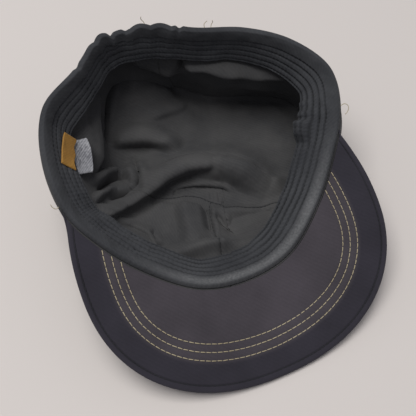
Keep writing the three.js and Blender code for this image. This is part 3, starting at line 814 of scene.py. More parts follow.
# %% Sweep the sweatband
def sweatband():
    depth = np.linspace(0, BAND_WIDTH, BAND_ROWS)
    back_depth = np.linspace(BAND_WIDTH, 1.5, 16)
    facing = band_facing(stations)[:, None]
    run = (stations * RIM_LENGTH / COUNT)[:, None]
    back = band_point(stations, depth)
    crumpled = sum(bell(apart(stations, at) / reach) for at, reach in BAND_CRUMPLES)
    crumple = 1 + BAND_CRUMPLE * crumpled[:, None]
    # the ribs stand out most at the front and right
    ribbed = 0.5 + 0.5 * ease((6.5 - apart(stations, 1)) / 3)[:, None]
    slack = band_slack(run, depth[None, :], back, crumple) * ease(depth / 3)[None, :]
    bulge = np.maximum(band_bulge(stations, depth), -0.3)
    rise = band_raise(depth)[None, :]
    rise = np.where(depth < BAND_ROLL, rise, BAND_CLOTH + (rise - BAND_CLOTH) * ribbed)
    face = back + facing * (rise + slack + bulge)[..., None] + pinched(stations, depth)
    lip_depth, lip_height = smooth_path(BAND_LIP, 15)[:0:-1].T
    # the roll hangs over the edge fully at the front, and by half where the elastic draws it in
    lip = band_point(stations, 0 * lip_depth) + facing * lip_height[None, :, None]
    hanging = 0.45 + 0.55 * ease((5 - apart(stations, 0.5)) / 2)[:, None]
    lip += rim_frame(stations)[2][:, None] * (lip_depth * np.where(lip_depth < 0, hanging, 1))[..., None]
    lip += pinched(stations, 0 * lip_depth)
    back_bulge = np.maximum(band_bulge(stations, back_depth), 0)
    behind = band_point(stations, back_depth) + facing * back_bulge[..., None]
    behind = behind + pinched(stations, back_depth)
    rings = np.concatenate([lip, face, behind], 1)
    places, faces = skin(rings, "joined")
    all_depth = np.concatenate([lip_depth, depth, back_depth])[None, :]
    uv = (np.stack(np.broadcast_arrays(run, all_depth), -1) * MM).reshape(-1, 2)
    # the roll is painted pale over the visor, partly wear from the forehead and partly a painted highlight
    # where it faces the light, and is painted dark at the left and the back as painted shade
    rubbed_and_lit = 0.05 + 0.95 * ease((3.5 - apart(stations, 0.5)) / 2.4)
    wear_and_highlight = np.exp(-((all_depth - 2.5) / 4.0) ** 2) * rubbed_and_lit[:, None]
    wear_and_highlight[:, len(lip_depth) + len(depth):] = 0
    uneven = 0.7 + 0.6 * soft_noise(np.concatenate([lip, back, behind], 1), 14, 14)
    # the stitched lines are painted dark, partly black thread and partly painted shade in their grooves,
    # and the roll is painted dark at the left and the back as painted shade
    line = sum(np.exp(-((all_depth - at) / 0.9) ** 2) for at in BAND_LINES) * ribbed ** 2 * uneven
    line += 0.45 * (1 - rubbed_and_lit[:, None]) * (1 - ease((all_depth - 4) / 5)) * uneven
    return new_piece("sweatband_tape", places, faces, uv, {"wear_and_highlight": wear_and_highlight.ravel(), "line": line.ravel()})


band = sweatband()

# %% [markdown]
# ## Visor
#
# A visor is a sheet of board in a cloth cover, turned over at the edge. Rows of topstitching hold
# cloth and board together, so each row lies in a shallow groove. The surface is a grid from the
# round outline to the rim, and the grooves follow the distance to the outline.

# %% Visor outline
VISOR_BOARD = 3.0         # board and both cloth faces
VISOR_HALF_WIDTH = 98.2
VISOR_MIDDLE_X = -1.0
VISOR_FRONT_Y = -133.0
VISOR_WIDEST_Y = -55
VISOR_ROUNDNESS = 2.3     # 2 is an ellipse, and more is squarer
VISOR_ROOT_Y = -10        # the outline's two ends
VISOR_ROOT_TUCK = 7       # how far they draw in towards the head
VISOR_ROOT_SHARE = 0.78   # share of each half of the outline up to its widest place
VISOR_WELT = 3.6          # the turned edge is stitched down this far from the outline
VISOR_FROM, VISOR_TO = 13.95, COUNT + 3.6      # the stations where the visor is sewn on
VISOR_STITCH_ROWS = [18.5, 23.2, 27.9]
# the rows were sewn by hand guidance: they wander in and out by this much, for shares of the outline
VISOR_ROW_DRIFT = [(0, 0), (0.25, -0.5), (0.5, -2.3), (0.75, 0.3), (1, 1.5)]
VISOR_COLUMNS = 420


def visor_outline(share):
    side = np.where(share < 0.5, -1, 1)
    run = np.abs(share - 0.5) * 2
    back = np.clip((run - VISOR_ROOT_SHARE) / (1 - VISOR_ROOT_SHARE), 0, 1)
    angle = np.clip(run / VISOR_ROOT_SHARE, 0, 1) * np.pi / 2
    power = 2 / VISOR_ROUNDNESS
    x = VISOR_HALF_WIDTH * np.sin(angle) ** power - VISOR_ROOT_TUCK * back * back
    front = VISOR_WIDEST_Y + (VISOR_FRONT_Y - VISOR_WIDEST_Y) * np.abs(np.cos(angle)) ** power
    y = np.where(run > VISOR_ROOT_SHARE, VISOR_WIDEST_Y + (VISOR_ROOT_Y - VISOR_WIDEST_Y) * back, front)
    return np.stack([VISOR_MIDDLE_X + side * x, y], -1)


def even_shares(count):
    """Shares of the outline that lie at even distances along it."""
    dense = np.linspace(0, 1, 4001)
    edge = visor_outline(dense)
    run = np.concatenate([[0], np.cumsum(np.linalg.norm(np.diff(edge, axis=0), axis=1))])
    return np.interp(np.linspace(0, run[-1], count), run, dense)


VISOR_EDGE = visor_outline(even_shares(201))
print("the visor's edge spans", np.round(np.ptp(VISOR_EDGE, axis=0), 1), "mm")


# %% [markdown]
# ## The visor's cloth cover
#
# The cover is drawn tight over the board, so it has no folds: it rounds off at the edge, dips at the
# line where the turned edge is stitched down and at the rows, and bows a little with wear. The rows
# were guided by hand and wander, so their grooves are drawn by distance from the outline plus a
# drift, and the stitches later follow the same drift.

# %% Visor cover
COVER_ROUND, COVER_ROUND_DEPTH = 1.6, 0.8      # the edge's rounding: its reach and its depth
WELT_GROOVE, ROW_GROOVE = 0.55, 0.3            # depths of the grooves at the welt and at the rows


def rounded_edge(distance):
    """How much lower the cover lies near its edge."""
    return COVER_ROUND_DEPTH * (1 - np.clip(distance / COVER_ROUND, 0, 1)) ** 2


def visor_cover():
    share = even_shares(VISOR_COLUMNS)
    station = VISOR_FROM + (VISOR_TO - VISOR_FROM) * share
    point, outward, down = rim_frame(station)
    root = point + outward * (EDGE_STAND + EDGE_CLOTH + SEAM_GAP)
    edge = visor_outline(share)
    width = np.linalg.norm(edge - root[:, :2], axis=1)
    squeeze = np.minimum(1, width * 0.4 / VISOR_WELT)
    near_rows = np.concatenate([np.linspace(0, 1.6, 6), np.linspace(1.9, 5.4, 13)])
    inset = near_rows[None, :] * squeeze[:, None] / width[:, None]
    far = inset[:, -1:] + (1 - inset[:, -1:]) * np.linspace(0, 1, 75)[None, 1:]
    inset = np.concatenate([inset, far], 1)
    under = np.concatenate([np.linspace(1, 0.12, 10)[None, :].repeat(len(share), 0),
                            near_rows[None, 5::-2] * squeeze[:, None] / width[:, None]], 1)

    def surface(inset):
        x = edge[:, None, 0] + (root[:, None, 0] - edge[:, None, 0]) * inset
        y = edge[:, None, 1] + (root[:, None, 1] - edge[:, None, 1]) * inset
        return np.stack([x, y, rim_level(x, y)], -1)

    top, bottom = surface(inset), surface(under)
    distance, along_edge = near_path(top[..., :2], VISOR_EDGE)[:2]
    drift = np.interp(along_edge, *zip(*VISOR_ROW_DRIFT))
    sink = rounded_edge(distance)
    sink += WELT_GROOVE * np.exp(-((distance - VISOR_WELT) / 0.5) ** 2) * np.minimum(squeeze[:, None], 1)
    for row in VISOR_STITCH_ROWS:
        sink += ROW_GROOVE * np.exp(-((distance - row - drift) / 0.8) ** 2)
    top[..., 2] += 0.35 * soft_noise(top, 24, 21) + 0.08 * soft_noise(top, 6, 22) - sink
    board = VISOR_BOARD * math.hypot(1, RIM_RISE)
    bottom[..., 2] -= board - rounded_edge(under * width[:, None])
    places, faces = skin(np.concatenate([top, bottom], 1), "strip")
    none = 0 * bottom[..., 0]
    ring = np.concatenate([ease((VISOR_STITCH_ROWS[0] + drift + 1 - distance) / 4), none], 1)
    welt = np.concatenate([np.exp(-(distance / 2.2) ** 2), none], 1)
    return new_piece("visor_cover", places, faces, places[:, :2] * MM,
                     {"outer_ring": ring.ravel(), "wear_and_highlight": welt.ravel()})


visor = visor_cover()

# %% [markdown]
# ## Loop tag and care label
#
# Two small tapes are sewn in under the left side of the sweatband: a folded woven tag and a satin
# label. Each is a little grid of cloth with its own thickness, laid on what it is sewn to. A real
# tag's fold is rounded and its corners lift, so the tapes get that from a few named sizes. They are
# left blank.

# %% Tag and label
TAPE_POINTS = 45
TAG_CLOTH, LABEL_CLOTH = 1.0, 0.6
# each tape lies between two stations, and from a depth below the rim over a reach
TAG_FROM, TAG_TO, TAG_START, TAG_REACH = 12.28, 13.08, 16, 12
LABEL_FROM, LABEL_TO, LABEL_START, LABEL_REACH = 12.62, 13.34, 30.5, 13
TAG_TURN, TAG_SKEW = 3.5, 3.9
TAG_RIPPLE, TAG_RIPPLES = 0.5, 4      # its free edge's ripples: height and number
LABEL_CURL = 2            # how far the label's free edge stands off
RIB_RAISE = 0.6           # the tag lies this far over the flat tape, on its ribs


def tape(name, start, stop, depths, thickness, lay, crumple, seed):
    """A patch of tape. lay gives its back and facing for each station and depth."""
    across = np.linspace(start, stop, TAPE_POINTS)
    back, facing = lay(across, depths)
    wave = crumple * soft_noise(back, 5, seed) + 0.4 * crumple * soft_noise(back, 2.2, seed + 1)
    rise = np.maximum(wave, -0.1)[..., None]
    step = np.arange(TAPE_POINTS)
    edge = np.minimum(np.minimum(step, step[::-1]) / 2, 1)[:, None, None]
    face = back + facing * (rise + thickness * (0.45 + 0.55 * edge))
    rings = np.concatenate([back + facing * rise, face[:, ::-1]], 1)
    places, faces = skin(rings, "strip")
    run = (step / (TAPE_POINTS - 1) * (stop - start) * RIM_LENGTH / COUNT)[:, None]
    uv = np.stack(np.broadcast_arrays(run, depths[None, :] - depths[0]), -1) * MM
    width, length = (np.linalg.norm(np.diff(back, axis=k), axis=2).sum(k).mean() for k in (0, 1))
    print(f"{name}: {width:.1f} by {length:.1f} mm as it lies")
    return new_piece(name, places, faces, np.concatenate([uv, uv[:, ::-1]], 1).reshape(-1, 2))


def on_band(across, depths):
    """Over the sweatband's ribs, turned a little and skewed, as the tag was caught in the seam."""
    facing = np.repeat(band_facing(across)[:, None], len(depths), 1)
    stand = BAND_CLOTH + RIB_RAISE + SEAM_GAP
    place = band_point(across, depths) + facing * stand
    along = np.linspace(0, 1, len(across))[:, None, None]
    inward = np.linspace(0, 1, len(depths))[None, :, None]
    depth_way = unit(place[:, -1:] - place[:, :1])
    ripple = TAG_RIPPLE * np.sin(along * TAG_RIPPLES * np.pi) * inward
    place = place + depth_way * (TAG_TURN * (1 - 2 * along) + ripple)
    return place + unit(np.gradient(place, axis=0)) * TAG_SKEW * along * inward, facing


def on_wall(across, depths):
    """Over the wall, on the smoothest surface that clears its folds, as a label's satin lies."""
    middle = on_grid(cloth_middle, across[:, None], depths[None, :] / WALL_LENGTH)
    u, v = np.meshgrid(np.linspace(-1, 1, len(across)), np.linspace(-1, 1, len(depths)), indexing="ij")
    terms = np.stack([1 + 0 * u, u, v, u * v, u * u, v * v], -1).reshape(-1, 6)
    flat = middle.reshape(-1, 3)
    calm = (terms @ np.linalg.lstsq(terms, flat, rcond=None)[0]).reshape(middle.shape)
    facing = unit(np.cross(np.gradient(calm, axis=0), np.gradient(calm, axis=1)))
    clear = ((middle - calm) * facing).sum(-1).max()
    curl = LABEL_CURL * ((depths - LABEL_START) / LABEL_REACH) ** 2
    print("the label stands", round(float(clear), 2), "mm off the wall's mean surface")
    return calm + facing * (CLOTH / 2 + SEAM_GAP + clear + curl)[None, :, None], facing


tag_depths = np.linspace(TAG_START, TAG_START + TAG_REACH, 30)
tag = tape("loop_tag_tape", TAG_FROM, TAG_TO, tag_depths, TAG_CLOTH, on_band, crumple=0.25, seed=31)
label_depths = np.linspace(LABEL_START, LABEL_START + LABEL_REACH, 40)
label = tape("care_label_tape", LABEL_FROM, LABEL_TO, label_depths, LABEL_CLOTH, on_wall,
             crumple=1.1, seed=33)

# %% [markdown]
# ## Nodes and colours
#
# A finish is a tree of shader nodes. It could be wired by hand in the shader editor, but in a script
# one small function is enough for any node: it adds it, sets it and links it. Colours are picked
# in sRGB, as on a screen, and the shader works in linear light, so a second function turns them.

# %% One function for nodes, one for colours
def add(tree, kind, inputs=None, **settings):
    """Adds a node, sets its properties, and sets or links its inputs."""
    made = tree.nodes.new(kind)
    for key, value in settings.items():
        setattr(made, key, value)
    for key, value in (inputs or {}).items():
        if isinstance(value, bpy.types.NodeSocket):
            tree.links.new(value, made.inputs[key])
        else:
            made.inputs[key].default_value = value
    return made


def linear(text):
    """An sRGB hex colour as the linear colour that the shader wants."""
    values = [int(text[i:i + 2], 16) / 255 for i in (1, 3, 5)]
    return [v / 12.92 if v <= 0.04045 else ((v + 0.055) / 1.055) ** 2.4 for v in values] + [1]


print("the sRGB grey #808080 is", round(linear("#808080")[0], 3), "in linear light")


# %% [markdown]
# ## Washed cotton twill
#
# Everything is cotton, so one function makes every twill: a washed cotton twill is matt, with fine
# diagonal ribs (wales), slubs where a thread is thicker, and a faint fuzz that catches light at
# grazing angles, which is the shader's sheen. Real wales are about half a millimetre apart, too fine
# for this picture, so they are drawn 1.1 mm apart.

# %% The twill's nodes
def cotton(name, deep, faded, wale=1.1, weave=0.5, sheen=0.05, rough=0.9, rubbed_and_lit=None, ring=None):
    """Washed cotton twill: two shades, diagonal wales, slubs, washed-out patches, paler edges that are
    partly wear and partly painted highlight, and dark lines that are partly seams and partly painted shade.
    """
    material = bpy.data.materials.new(name)
    material.use_nodes = True
    tree = material.node_tree
    shader = tree.nodes["Principled BSDF"]
    uv = add(tree, "ShaderNodeUVMap", uv_map="cloth").outputs["UV"]
    place = add(tree, "ShaderNodeTexCoord").outputs["Object"]
    # this scale makes the wave texture's diagonal bands one wale apart
    wave_scale = math.pi / 10 / (wale * MM) / math.sqrt(2)
    wales = add(tree, "ShaderNodeTexWave",
                {"Vector": uv, "Scale": wave_scale, "Distortion": 1.2, "Detail": 1.0,
                 "Detail Scale": 1.5},
                wave_type="BANDS", bands_direction="DIAGONAL")
    slubs = add(tree, "ShaderNodeTexNoise", {"Vector": uv, "Scale": 1 / (1.6 * MM), "Detail": 3.0})
    patches = add(tree, "ShaderNodeTexNoise", {"Vector": place, "Scale": 1 / (28 * MM), "Detail": 3.0})
    fibre = add(tree, "ShaderNodeMix",
                {"Factor": 0.75, "A": wales.outputs["Fac"], "B": slubs.outputs["Fac"]})
    shade = add(tree, "ShaderNodeMapRange",
                {"Value": patches.outputs["Fac"], "From Min": 0.3, "From Max": 0.7, "To Min": 0.1,
                 "To Max": 0.75})
    mixed = add(tree, "ShaderNodeMath", {0: fibre.outputs[0], 1: weave, 2: shade.outputs[0]},
                operation="MULTIPLY_ADD")
    centred = add(tree, "ShaderNodeMath", {0: mixed.outputs[0], 1: weave / 2}, operation="SUBTRACT")
    colour = add(tree, "ShaderNodeMix", {0: centred.outputs[0], 6: linear(deep), 7: linear(faded)},
                 data_type="RGBA").outputs[2]
    # paler where the cloth is worn, and on the sweatband's roll partly a painted highlight
    wear_and_highlight = add(tree, "ShaderNodeAttribute", attribute_name="wear_and_highlight")
    wear_and_highlight_share = add(tree, "ShaderNodeMath", {0: wear_and_highlight.outputs["Fac"], 1: slubs.outputs["Fac"]},
                     operation="MULTIPLY")
    paler = add(tree, "ShaderNodeMix", {0: wear_and_highlight_share.outputs[0], 6: colour, 7: linear(rubbed_and_lit or faded)},
                data_type="RGBA")
    # dark lines: seams and stitched lines, and on the sweatband also painted shade in its grooves and on
    # its roll at the left and the back
    line = add(tree, "ShaderNodeAttribute", attribute_name="line")
    seam_and_shade_share = add(tree, "ShaderNodeMath", {0: line.outputs["Fac"], 1: 0.6}, operation="MULTIPLY")
    colour = add(tree, "ShaderNodeMix",
                 {0: seam_and_shade_share.outputs[0], 6: paler.outputs[2], 7: linear("#131416")},
                 data_type="RGBA").outputs[2]
    if ring:
        outer = add(tree, "ShaderNodeAttribute", attribute_name="outer_ring")
        colour = add(tree, "ShaderNodeMix", {0: outer.outputs["Fac"], 6: colour, 7: linear(ring)},
                     data_type="RGBA", blend_type="MULTIPLY").outputs[2]
    bump = add(tree, "ShaderNodeBump", {"Height": fibre.outputs[0], "Strength": 0.6, "Distance": 0.25 * MM})
    tree.links.new(colour, shader.inputs["Base Color"])
    tree.links.new(bump.outputs["Normal"], shader.inputs["Normal"])
    shader.inputs["Roughness"].default_value = rough
    shader.inputs["Sheen Weight"].default_value = sheen
    shader.inputs["Sheen Roughness"].default_value = 0.5
    shader.inputs["Specular IOR Level"].default_value = 0.25
    print("material:", name)
    return material


# %% [markdown]
# ## The cap's own finishes
#
# The same black dye looks different on every piece: matt and patchy on the washed walls, crisp on
# the pressed tape, flat on the tight visor. Each finish starts from the same cotton and changes
# only what the eye sees differ. Each comment says what the finish gives the eye.

# %% Cloths and threads
# soft and matt: the folds read by their shade alone, over a faint patchiness from washing
black_twill = cotton("washed black cotton twill", "#363637", "#4c4b4a", weave=0.65)
# darker and crisper than the walls; the roll over the visor is painted pale, partly wear, partly a painted
# highlight
band_twill = cotton("pressed black cotton tape", "#2a2b2e", "#47484a", rubbed_and_lit="#707070")
# a flatter, slightly violet charcoal, darker and a little bluer between the edge and the topstitching
visor_twill = cotton("charcoal cotton twill", "#383438", "#474247", weave=0.5, ring="#bcc0cc")
# a warm accent with a close, slightly glossy weave
tag_weave = cotton("mustard woven tape", "#8a6229", "#b0843e", wale=0.8, weave=0.6, rough=0.75)
# pale and mottled, with a satin gloss on its crumples
label_satin = cotton("grey-white label satin", "#68686c", "#cacacc", wale=0.7, weave=1.1, rough=0.5)
# nearly hidden: only the dimples between its stitches show
black_thread = cotton("black polyester-cotton thread", "#1d1e20", "#2f3032")
# pale dashes that draw the visor's curve
tan_thread = cotton("tan polyester-cotton thread", "#978b70", "#b8ad8f", sheen=0.1, rough=0.7)

# %% [markdown]
# ## Stitches
#
# A lockstitch row is the same small thread arc, again and again. Geometry Nodes place it: the row's
# path is resampled at the stitch pitch, an arc of thread is put on every point, turned along the
# path and to the cloth's facing, and the whole is made real. A seeded random turn keeps the rows
# from looking ruled. Making each stitch by hand or by an array would fix its spacing to one curve.

# %% Stitch row tree
def stitch_tree():
    tree = bpy.data.node_groups.new("stitch row", "GeometryNodeTree")
    for key, kind in (("Path", "Geometry"), ("Pitch", "Float"), ("Length", "Float"), ("Thread", "Float"),
                      ("Rise", "Float"), ("Wander", "Float"), ("Seed", "Int"), ("Finish", "Material")):
        tree.interface.new_socket(key, in_out="INPUT", socket_type="NodeSocket" + kind)
    tree.interface.new_socket("Stitches", in_out="OUTPUT", socket_type="NodeSocketGeometry")
    given = add(tree, "NodeGroupInput").outputs
    curve = add(tree, "GeometryNodeMeshToCurve", {"Mesh": given["Path"]})
    evenly = add(tree, "GeometryNodeResampleCurve", {"Curve": curve.outputs[0], "Length": given["Pitch"]},
                 mode="LENGTH")
    # one arc of thread, from one needle hole up over the cloth to the next, with sunken ends
    half, minus_half, radius, sunk, least_turn = (
        add(tree, "ShaderNodeMath", {0: given[key], 1: factor}, operation="MULTIPLY").outputs[0]
        for key, factor in (("Length", 0.5), ("Length", -0.5), ("Thread", 0.5), ("Thread", -0.35),
                            ("Wander", -1.0)))
    start = add(tree, "ShaderNodeCombineXYZ", {"X": minus_half, "Z": sunk})
    middle = add(tree, "ShaderNodeCombineXYZ", {"Z": given["Rise"]})
    end = add(tree, "ShaderNodeCombineXYZ", {"X": half, "Z": sunk})
    arc = add(tree, "GeometryNodeCurveQuadraticBezier",
              {"Resolution": 6, "Start": start.outputs[0], "Middle": middle.outputs[0],
               "End": end.outputs[0]})
    ring = add(tree, "GeometryNodeCurvePrimitiveCircle", {"Resolution": 7, "Radius": radius})
    thread = add(tree, "GeometryNodeCurveToMesh",
                 {"Curve": arc.outputs[0], "Profile Curve": ring.outputs[0], "Fill Caps": True})
    # every point of the row turns its arc along the path and to the cloth's facing, and a little aside
    facing = add(tree, "GeometryNodeInputNamedAttribute", {"Name": "facing"}, data_type="FLOAT_VECTOR")
    along = add(tree, "FunctionNodeAlignRotationToVector",
                {"Vector": add(tree, "GeometryNodeInputTangent").outputs[0]}, axis="X")
    upright = add(tree, "FunctionNodeAlignRotationToVector",
                  {"Rotation": along.outputs[0], "Vector": facing.outputs[0]}, axis="Z", pivot_axis="X")
    wander = add(tree, "FunctionNodeRandomValue",
                 {"Min": least_turn, "Max": given["Wander"], "Seed": given["Seed"]})
    turn = add(tree, "ShaderNodeCombineXYZ", {"Z": wander.outputs[1]})
    aside = add(tree, "FunctionNodeEulerToRotation", {0: turn.outputs[0]})
    wandering = add(tree, "FunctionNodeRotateRotation",
                    {"Rotation": upright.outputs[0], "Rotate By": aside.outputs[0]}, rotation_space="LOCAL")
    placed = add(tree, "GeometryNodeInstanceOnPoints",
                 {"Points": evenly.outputs[0], "Instance": thread.outputs[0],
                  "Rotation": wandering.outputs[0]})
    real = add(tree, "GeometryNodeRealizeInstances", {"Geometry": placed.outputs[0]})
    smooth = add(tree, "GeometryNodeSetShadeSmooth", {"Geometry": real.outputs[0]})
    done = add(tree, "GeometryNodeSetMaterial",
               {"Geometry": smooth.outputs[0], "Material": given["Finish"]})
    add(tree, "NodeGroupOutput", {0: done.outputs[0]})
    return tree


STITCH_TREE = stitch_tree()
STITCH_INPUTS = [item for item in STITCH_TREE.interface.items_tree if item.in_out == "INPUT"]
print("stitch row inputs:", [item.name for item in STITCH_INPUTS])


# %% [markdown]
# ## From a path to a row of stitches
#
# The tree needs a path to work on: a line of points, each with the cloth's facing stored on it. The
# path wears the tree as a modifier, its sizes are set by each socket's identifier, and the finished
# stitches are taken from the evaluated object as a plain mesh. Then the path is thrown away.

# %% From paths to stitches
def stitches(name, paths, finish, pitch, length, thread, rise, seed, wander=0.06):
    """Rows of stitches. Each path is a list of places and the cloth's facing at each, in millimetres."""
    places = np.concatenate([p for p, _ in paths])
    facings = np.concatenate([f for _, f in paths])
    edges, base = [], 0
    for path, _ in paths:
        edges += [(base + k, base + k + 1) for k in range(len(path) - 1)]
        base += len(path)
    mesh = bpy.data.meshes.new(name + "_path")
    mesh.from_pydata(to_frame(places).tolist(), edges, [])
    mesh.attributes.new("facing", "FLOAT_VECTOR", "POINT").data.foreach_set(
        "vector", unit(facings).astype(np.float32).ravel())
    carrier = bpy.data.objects.new(name + "_path", mesh)
    bpy.context.scene.collection.objects.link(carrier)
    modifier = carrier.modifiers.new("stitches", "NODES")
    modifier.node_group = STITCH_TREE
    values = {"Pitch": pitch * MM, "Length": length * MM, "Thread": thread * MM, "Rise": rise * MM,
              "Wander": wander, "Seed": seed, "Finish": finish}
    for item in STITCH_INPUTS:
        if item.name in values:
            modifier[item.identifier] = values[item.name]
    evaluated = carrier.evaluated_get(bpy.context.evaluated_depsgraph_get())
    made = bpy.data.objects.new(name, bpy.data.meshes.new_from_object(evaluated))
    made.data.name = name
    bpy.context.scene.collection.objects.link(made)
    bpy.data.objects.remove(carrier)
    print(f"{name}: {len(made.data.polygons)} faces")
    return made


# %% [markdown]
# ## Topstitching on the visor
#
# Three rows of tan thread follow the visor's outline, and a black row holds the turned edge down.
# They could be copies of one scaled outline, but a scaled curve doesn't keep its distance from the
# edge. Each row is the outline moved inwards, with the drift that its groove already has.

# %% Visor rows
ROW_POINTS = 700
ROW_CLEAR = 3.0           # the rows end this far outside the rim
ROW_END_Y = VISOR_WIDEST_Y + 75
ROW_SUNK = 0.12


def row_on_visor(inset, drifting):
    """A path beside the visor's outline, as far as it lies outside the sweatband."""
    share = even_shares(ROW_POINTS)
    edge = visor_outline(share)
    along = unit(np.gradient(edge, axis=0))
    drift = drifting * np.interp(np.linspace(0, 1, ROW_POINTS), *zip(*VISOR_ROW_DRIFT))
    inner = edge + np.stack([-along[:, 1], along[:, 0]], -1) * (inset + drift)[:, None]
    rim = rim_place(around)[:-1]
    nearest = np.array([np.argmin(((rim[:, :2] - p) ** 2).sum(1)) for p in inner])
    outward = rim_frame(nearest / RIM_POINTS * COUNT)[1]
    clear = ((inner - rim[nearest, :2]) * outward[:, :2]).sum(1) > ROW_CLEAR
    clear &= inner[:, 1] < ROW_END_Y
    x, y = inner[clear].T
    places = np.stack([x, y, rim_level(x, y) - ROW_SUNK], -1)
    facing = np.stack([-2 * RIM_CURL * x, np.full(len(x), -RIM_RISE), np.ones(len(x))], -1)
    return places, facing


visor_rows = stitches("visor_topstitching", [row_on_visor(inset, 1) for inset in VISOR_STITCH_ROWS],
                      tan_thread, pitch=3.5, length=2.7, thread=0.58, rise=0.7, seed=5)
edge_rows = stitches("visor_edge_stitching", [row_on_visor(VISOR_WELT, 0)],
                     black_thread, pitch=3.0, length=2.4, thread=0.5, rise=0.2, seed=6)


# %% [markdown]
# ## Stitches on the band and the seams
#
# The band's five rows make its ribs, so they lie at the bottom of its grooves. The crown seam and
# the front seam have a row each, hardly seen in black on black, but it dimples the seam line.

# %% Band and seam rows
def row_on_band(depth):
    at = np.linspace(0, COUNT, 1500)
    facing = band_facing(at)
    raise_here = band_raise(np.array([depth]))[0]
    return band_point(at, np.array([depth]))[:, 0] + facing * raise_here, facing


band_rows = stitches("sweatband_stitching", [row_on_band(depth) for depth in BAND_LINES],
                     black_thread, pitch=BAND_STITCH, length=2.4, thread=0.5, rise=0.5, seed=7)


def row_on_cloth(station, level):
    """A stitched path over the cloth's inner face."""
    facing = -on_grid(cloth_out, station, level)
    return on_grid(cloth_middle, station, level) + facing * CLOTH / 2, facing


crown_row = np.linspace(15.4, 22, 500)         # the stations where the crown seam's stitches show
front_row = np.linspace(0.3, 0.99, 150)        # the levels down the front seam, below the band
seam_rows = stitches("lining_seam_stitching",
                     [row_on_cloth(crown_row, np.full(500, 1.0)),
                      row_on_cloth(np.full(150, FRONT_SEAM), front_row)],
                     black_thread, pitch=2.8, length=2.1, thread=0.45, rise=0.35, seed=8)

# %% [markdown]
# ## Loose thread ends
#
# Where a row starts or stops, an end of thread was left on and stands off the rim. Such an end is a
# few millimetres of springy thread, so it bends in one or two arcs. A hair system would scatter
# many; here are only five, each drawn through a few points.

# %% Thread ends at the rim
# station, and the thread's way from the rim in millimetres: along the rim, outward and up
THREAD_ENDS = [
    (9.08, [(0, 0, -1), (0.6, 1.2, 0.6), (1.6, 1.6, 1.8), (2.2, 1.2, 3.4), (2.0, 1.0, 5.2)]),
    (7.84, [(0, 0, -1), (0.4, 1.6, 0.8), (-0.6, 2.8, 1.6), (-1.8, 3.2, 2.6)]),
    (7.71, [(0, 0, -1), (-0.4, 1.8, 0.6), (-1.4, 2.6, 1.9), (-1.2, 2.4, 3.4)]),
    (4.135, [(0, 0, -1), (0.5, 2.4, 0.2), (-0.6, 4.4, 0.4), (-2.4, 5.0, 0.2), (-4.4, 4.4, -0.4),
             (-6.2, 2.8, -0.6)]),
    (13.91, [(0, 0.6, -1.4), (0.4, 2.4, -1.2), (-0.8, 3.8, -0.6), (-2.6, 4.2, 0.4)]),
]
THREAD_END = 0.45         # the thread's diameter


def thread_tube(points, diameter, sides=7):
    """A round thread through a few points, with both ends closed."""
    line = smooth_path(points, 8 * len(points))
    along = unit(np.gradient(line, axis=0))
    side = unit(np.cross(along, [0.3, 0.2, 0.93]))
    up = np.cross(side, along)
    angle = np.arange(sides) / sides * 2 * np.pi
    around_line = side[:, None] * np.cos(angle)[None, :, None] + up[:, None] * np.sin(angle)[None, :, None]
    return skin(line[:, None] + around_line * diameter / 2, "fan")


def thread_ends():
    all_places, all_faces = [], []
    for station, steps in THREAD_ENDS:
        point, outward, _ = rim_frame(np.array([station]))
        along = unit(rim_place(np.array([station + 0.02])) - rim_place(np.array([station - 0.02])))
        line = [point[0] + along[0] * a + outward[0] * (o + 1) + np.array([0, 0, up + 1.0])
                for a, o, up in steps]
        places, faces = thread_tube(line, THREAD_END)
        base = sum(len(p) for p in all_places)
        all_faces += [[base + k for k in face] for face in faces]
        all_places.append(places)
    places = np.concatenate(all_places)
    return new_piece("loose_thread_ends", places, all_faces, places[:, :2] * MM)


loose_ends = thread_ends()

# %% [markdown]
# ## Dress the frame
#
# Every finished piece gets its cloth, rides on the cap's one body and, where it stands for a solid
# of the frame, hides it. Stitches and thread ends replace nothing. The two tapes are loose sheets.
# The tag's leaves are pressed together and made as one doubled tape, so its size is the folded one.

# %% Dress the pieces
for made, finish, slot, nodes in (
    (wall_left, black_twill, "black_twill", ["side_wall_left"]),
    (wall_right, black_twill, "black_twill", ["side_wall_right"]),
    (crown_panel, black_twill, "black_twill", ["crown_top"]),
    (band, band_twill, "band_twill", ["sweatband"]),
    (visor, visor_twill, "visor_twill", ["visor"]),
    (tag, tag_weave, "tag_weave", ["loop_tag"]),
    (label, label_satin, "label_satin", ["care_label"]),
    (visor_rows, None, "visor_twill", []),
    (edge_rows, None, "visor_twill", []),
    (band_rows, None, "band_twill", []),
    (seam_rows, None, "black_twill", []),
    (loose_ends, tan_thread, "visor_twill", []),
):
    if finish:
        made.data.materials.append(finish)
    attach(made, "root")
    if nodes:
        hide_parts(*nodes)
    print(f"{made.name}: rides on root, stands for {nodes or 'no node'}")

# %% [markdown]
# ## Table top
#
# The cap lies on a plain pale table. One big square of matt paint is enough, far larger than the
# picture, because nothing but the cap and its soft shadow should draw the eye.

# %% Floor
floor_mesh = bpy.data.meshes.new("table_top")
floor_mesh.from_pydata([(-3, -3, 0), (3, -3, 0), (3, 3, 0), (-3, 3, 0)], [], [(0, 1, 2, 3)])
floor = bpy.data.objects.new("table_top", floor_mesh)
bpy.context.scene.collection.objects.link(floor)
paint = bpy.data.materials.new("pale matt paint")
paint.use_nodes = True
paint_shader = paint.node_tree.nodes["Principled BSDF"]
paint_shader.inputs["Base Color"].default_value = linear("#ccc5bf")
paint_shader.inputs["Roughness"].default_value = 0.85
floor_mesh.materials.append(paint)
print("table top:", [round(v, 1) for v in floor.dimensions], "m")

# %% [markdown]
# ## Light
#
# Black cloth shows its folds only by the light on their slopes. One large softbox stands high, a
# little to the back left, and gives each fold a bright and a dark side with soft edges. A sun would
# cut hard shadows, so the rest of the light is an even pale sky that also reaches into the hollow.

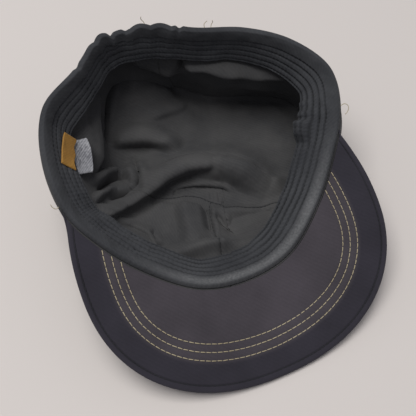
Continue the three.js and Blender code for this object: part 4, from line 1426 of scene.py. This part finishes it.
# %% Softbox and sky
cap_middle = Vector((0, 0, 0.03))


def softbox(name, towards, distance, size, power):
    """A square area light that stands in a direction from the cap and faces it."""
    light = bpy.data.lights.new(name, "AREA")
    light.size = size
    light.energy = power
    made = bpy.data.objects.new(name, light)
    made.location = cap_middle + Vector(towards).normalized() * distance
    made.rotation_euler = (cap_middle - made.location).to_track_quat("-Z", "Y").to_euler()
    bpy.context.scene.collection.objects.link(made)
    return made


key = softbox("key softbox", (-0.2, 0.11, 0.96), distance=1.8, size=1.1, power=27)
world = bpy.data.worlds.new("even sky")
world.use_nodes = True
world.node_tree.nodes["Background"].inputs["Color"].default_value = linear("#f4f5ff")
world.node_tree.nodes["Background"].inputs["Strength"].default_value = 0.39
bpy.context.scene.world = world
print("softbox:", round(key.data.size, 2), "m wide,", key.data.energy, "W")

# %% [markdown]
# ## Camera
#
# The view looks down over the visor at 58 degrees, a little from the left. The distance and the
# view angle were fitted with the cap's sizes, so that rim and visor keep their proportions. The
# camera stands on a line from its target, and no lens shift is needed.

# %% Camera
CAMERA_AZIMUTH, CAMERA_ELEVATION = math.radians(-23.19), math.radians(58)
CAMERA_DISTANCE = 386.06
CAMERA_TARGET = (-7.02, -26.17, 40)
CAMERA_VIEW = math.radians(38)
camera_data = bpy.data.cameras.new("camera")
camera_data.sensor_width = 36
camera_data.lens = 18 / math.tan(CAMERA_VIEW / 2)
camera_data.clip_start = 0.01
camera = bpy.data.objects.new("camera", camera_data)
back = Vector((math.sin(CAMERA_AZIMUTH) * math.cos(CAMERA_ELEVATION),
               -math.cos(CAMERA_AZIMUTH) * math.cos(CAMERA_ELEVATION), math.sin(CAMERA_ELEVATION)))
camera.location = Vector(to_frame(CAMERA_TARGET)) + back * CAMERA_DISTANCE * MM
camera.rotation_euler = (-back).to_track_quat("-Z", "Y").to_euler()
bpy.context.scene.collection.objects.link(camera)
bpy.context.scene.camera = camera
bpy.context.scene.view_settings.view_transform = "Standard"
print("camera at", [round(v, 3) for v in camera.location], "m")
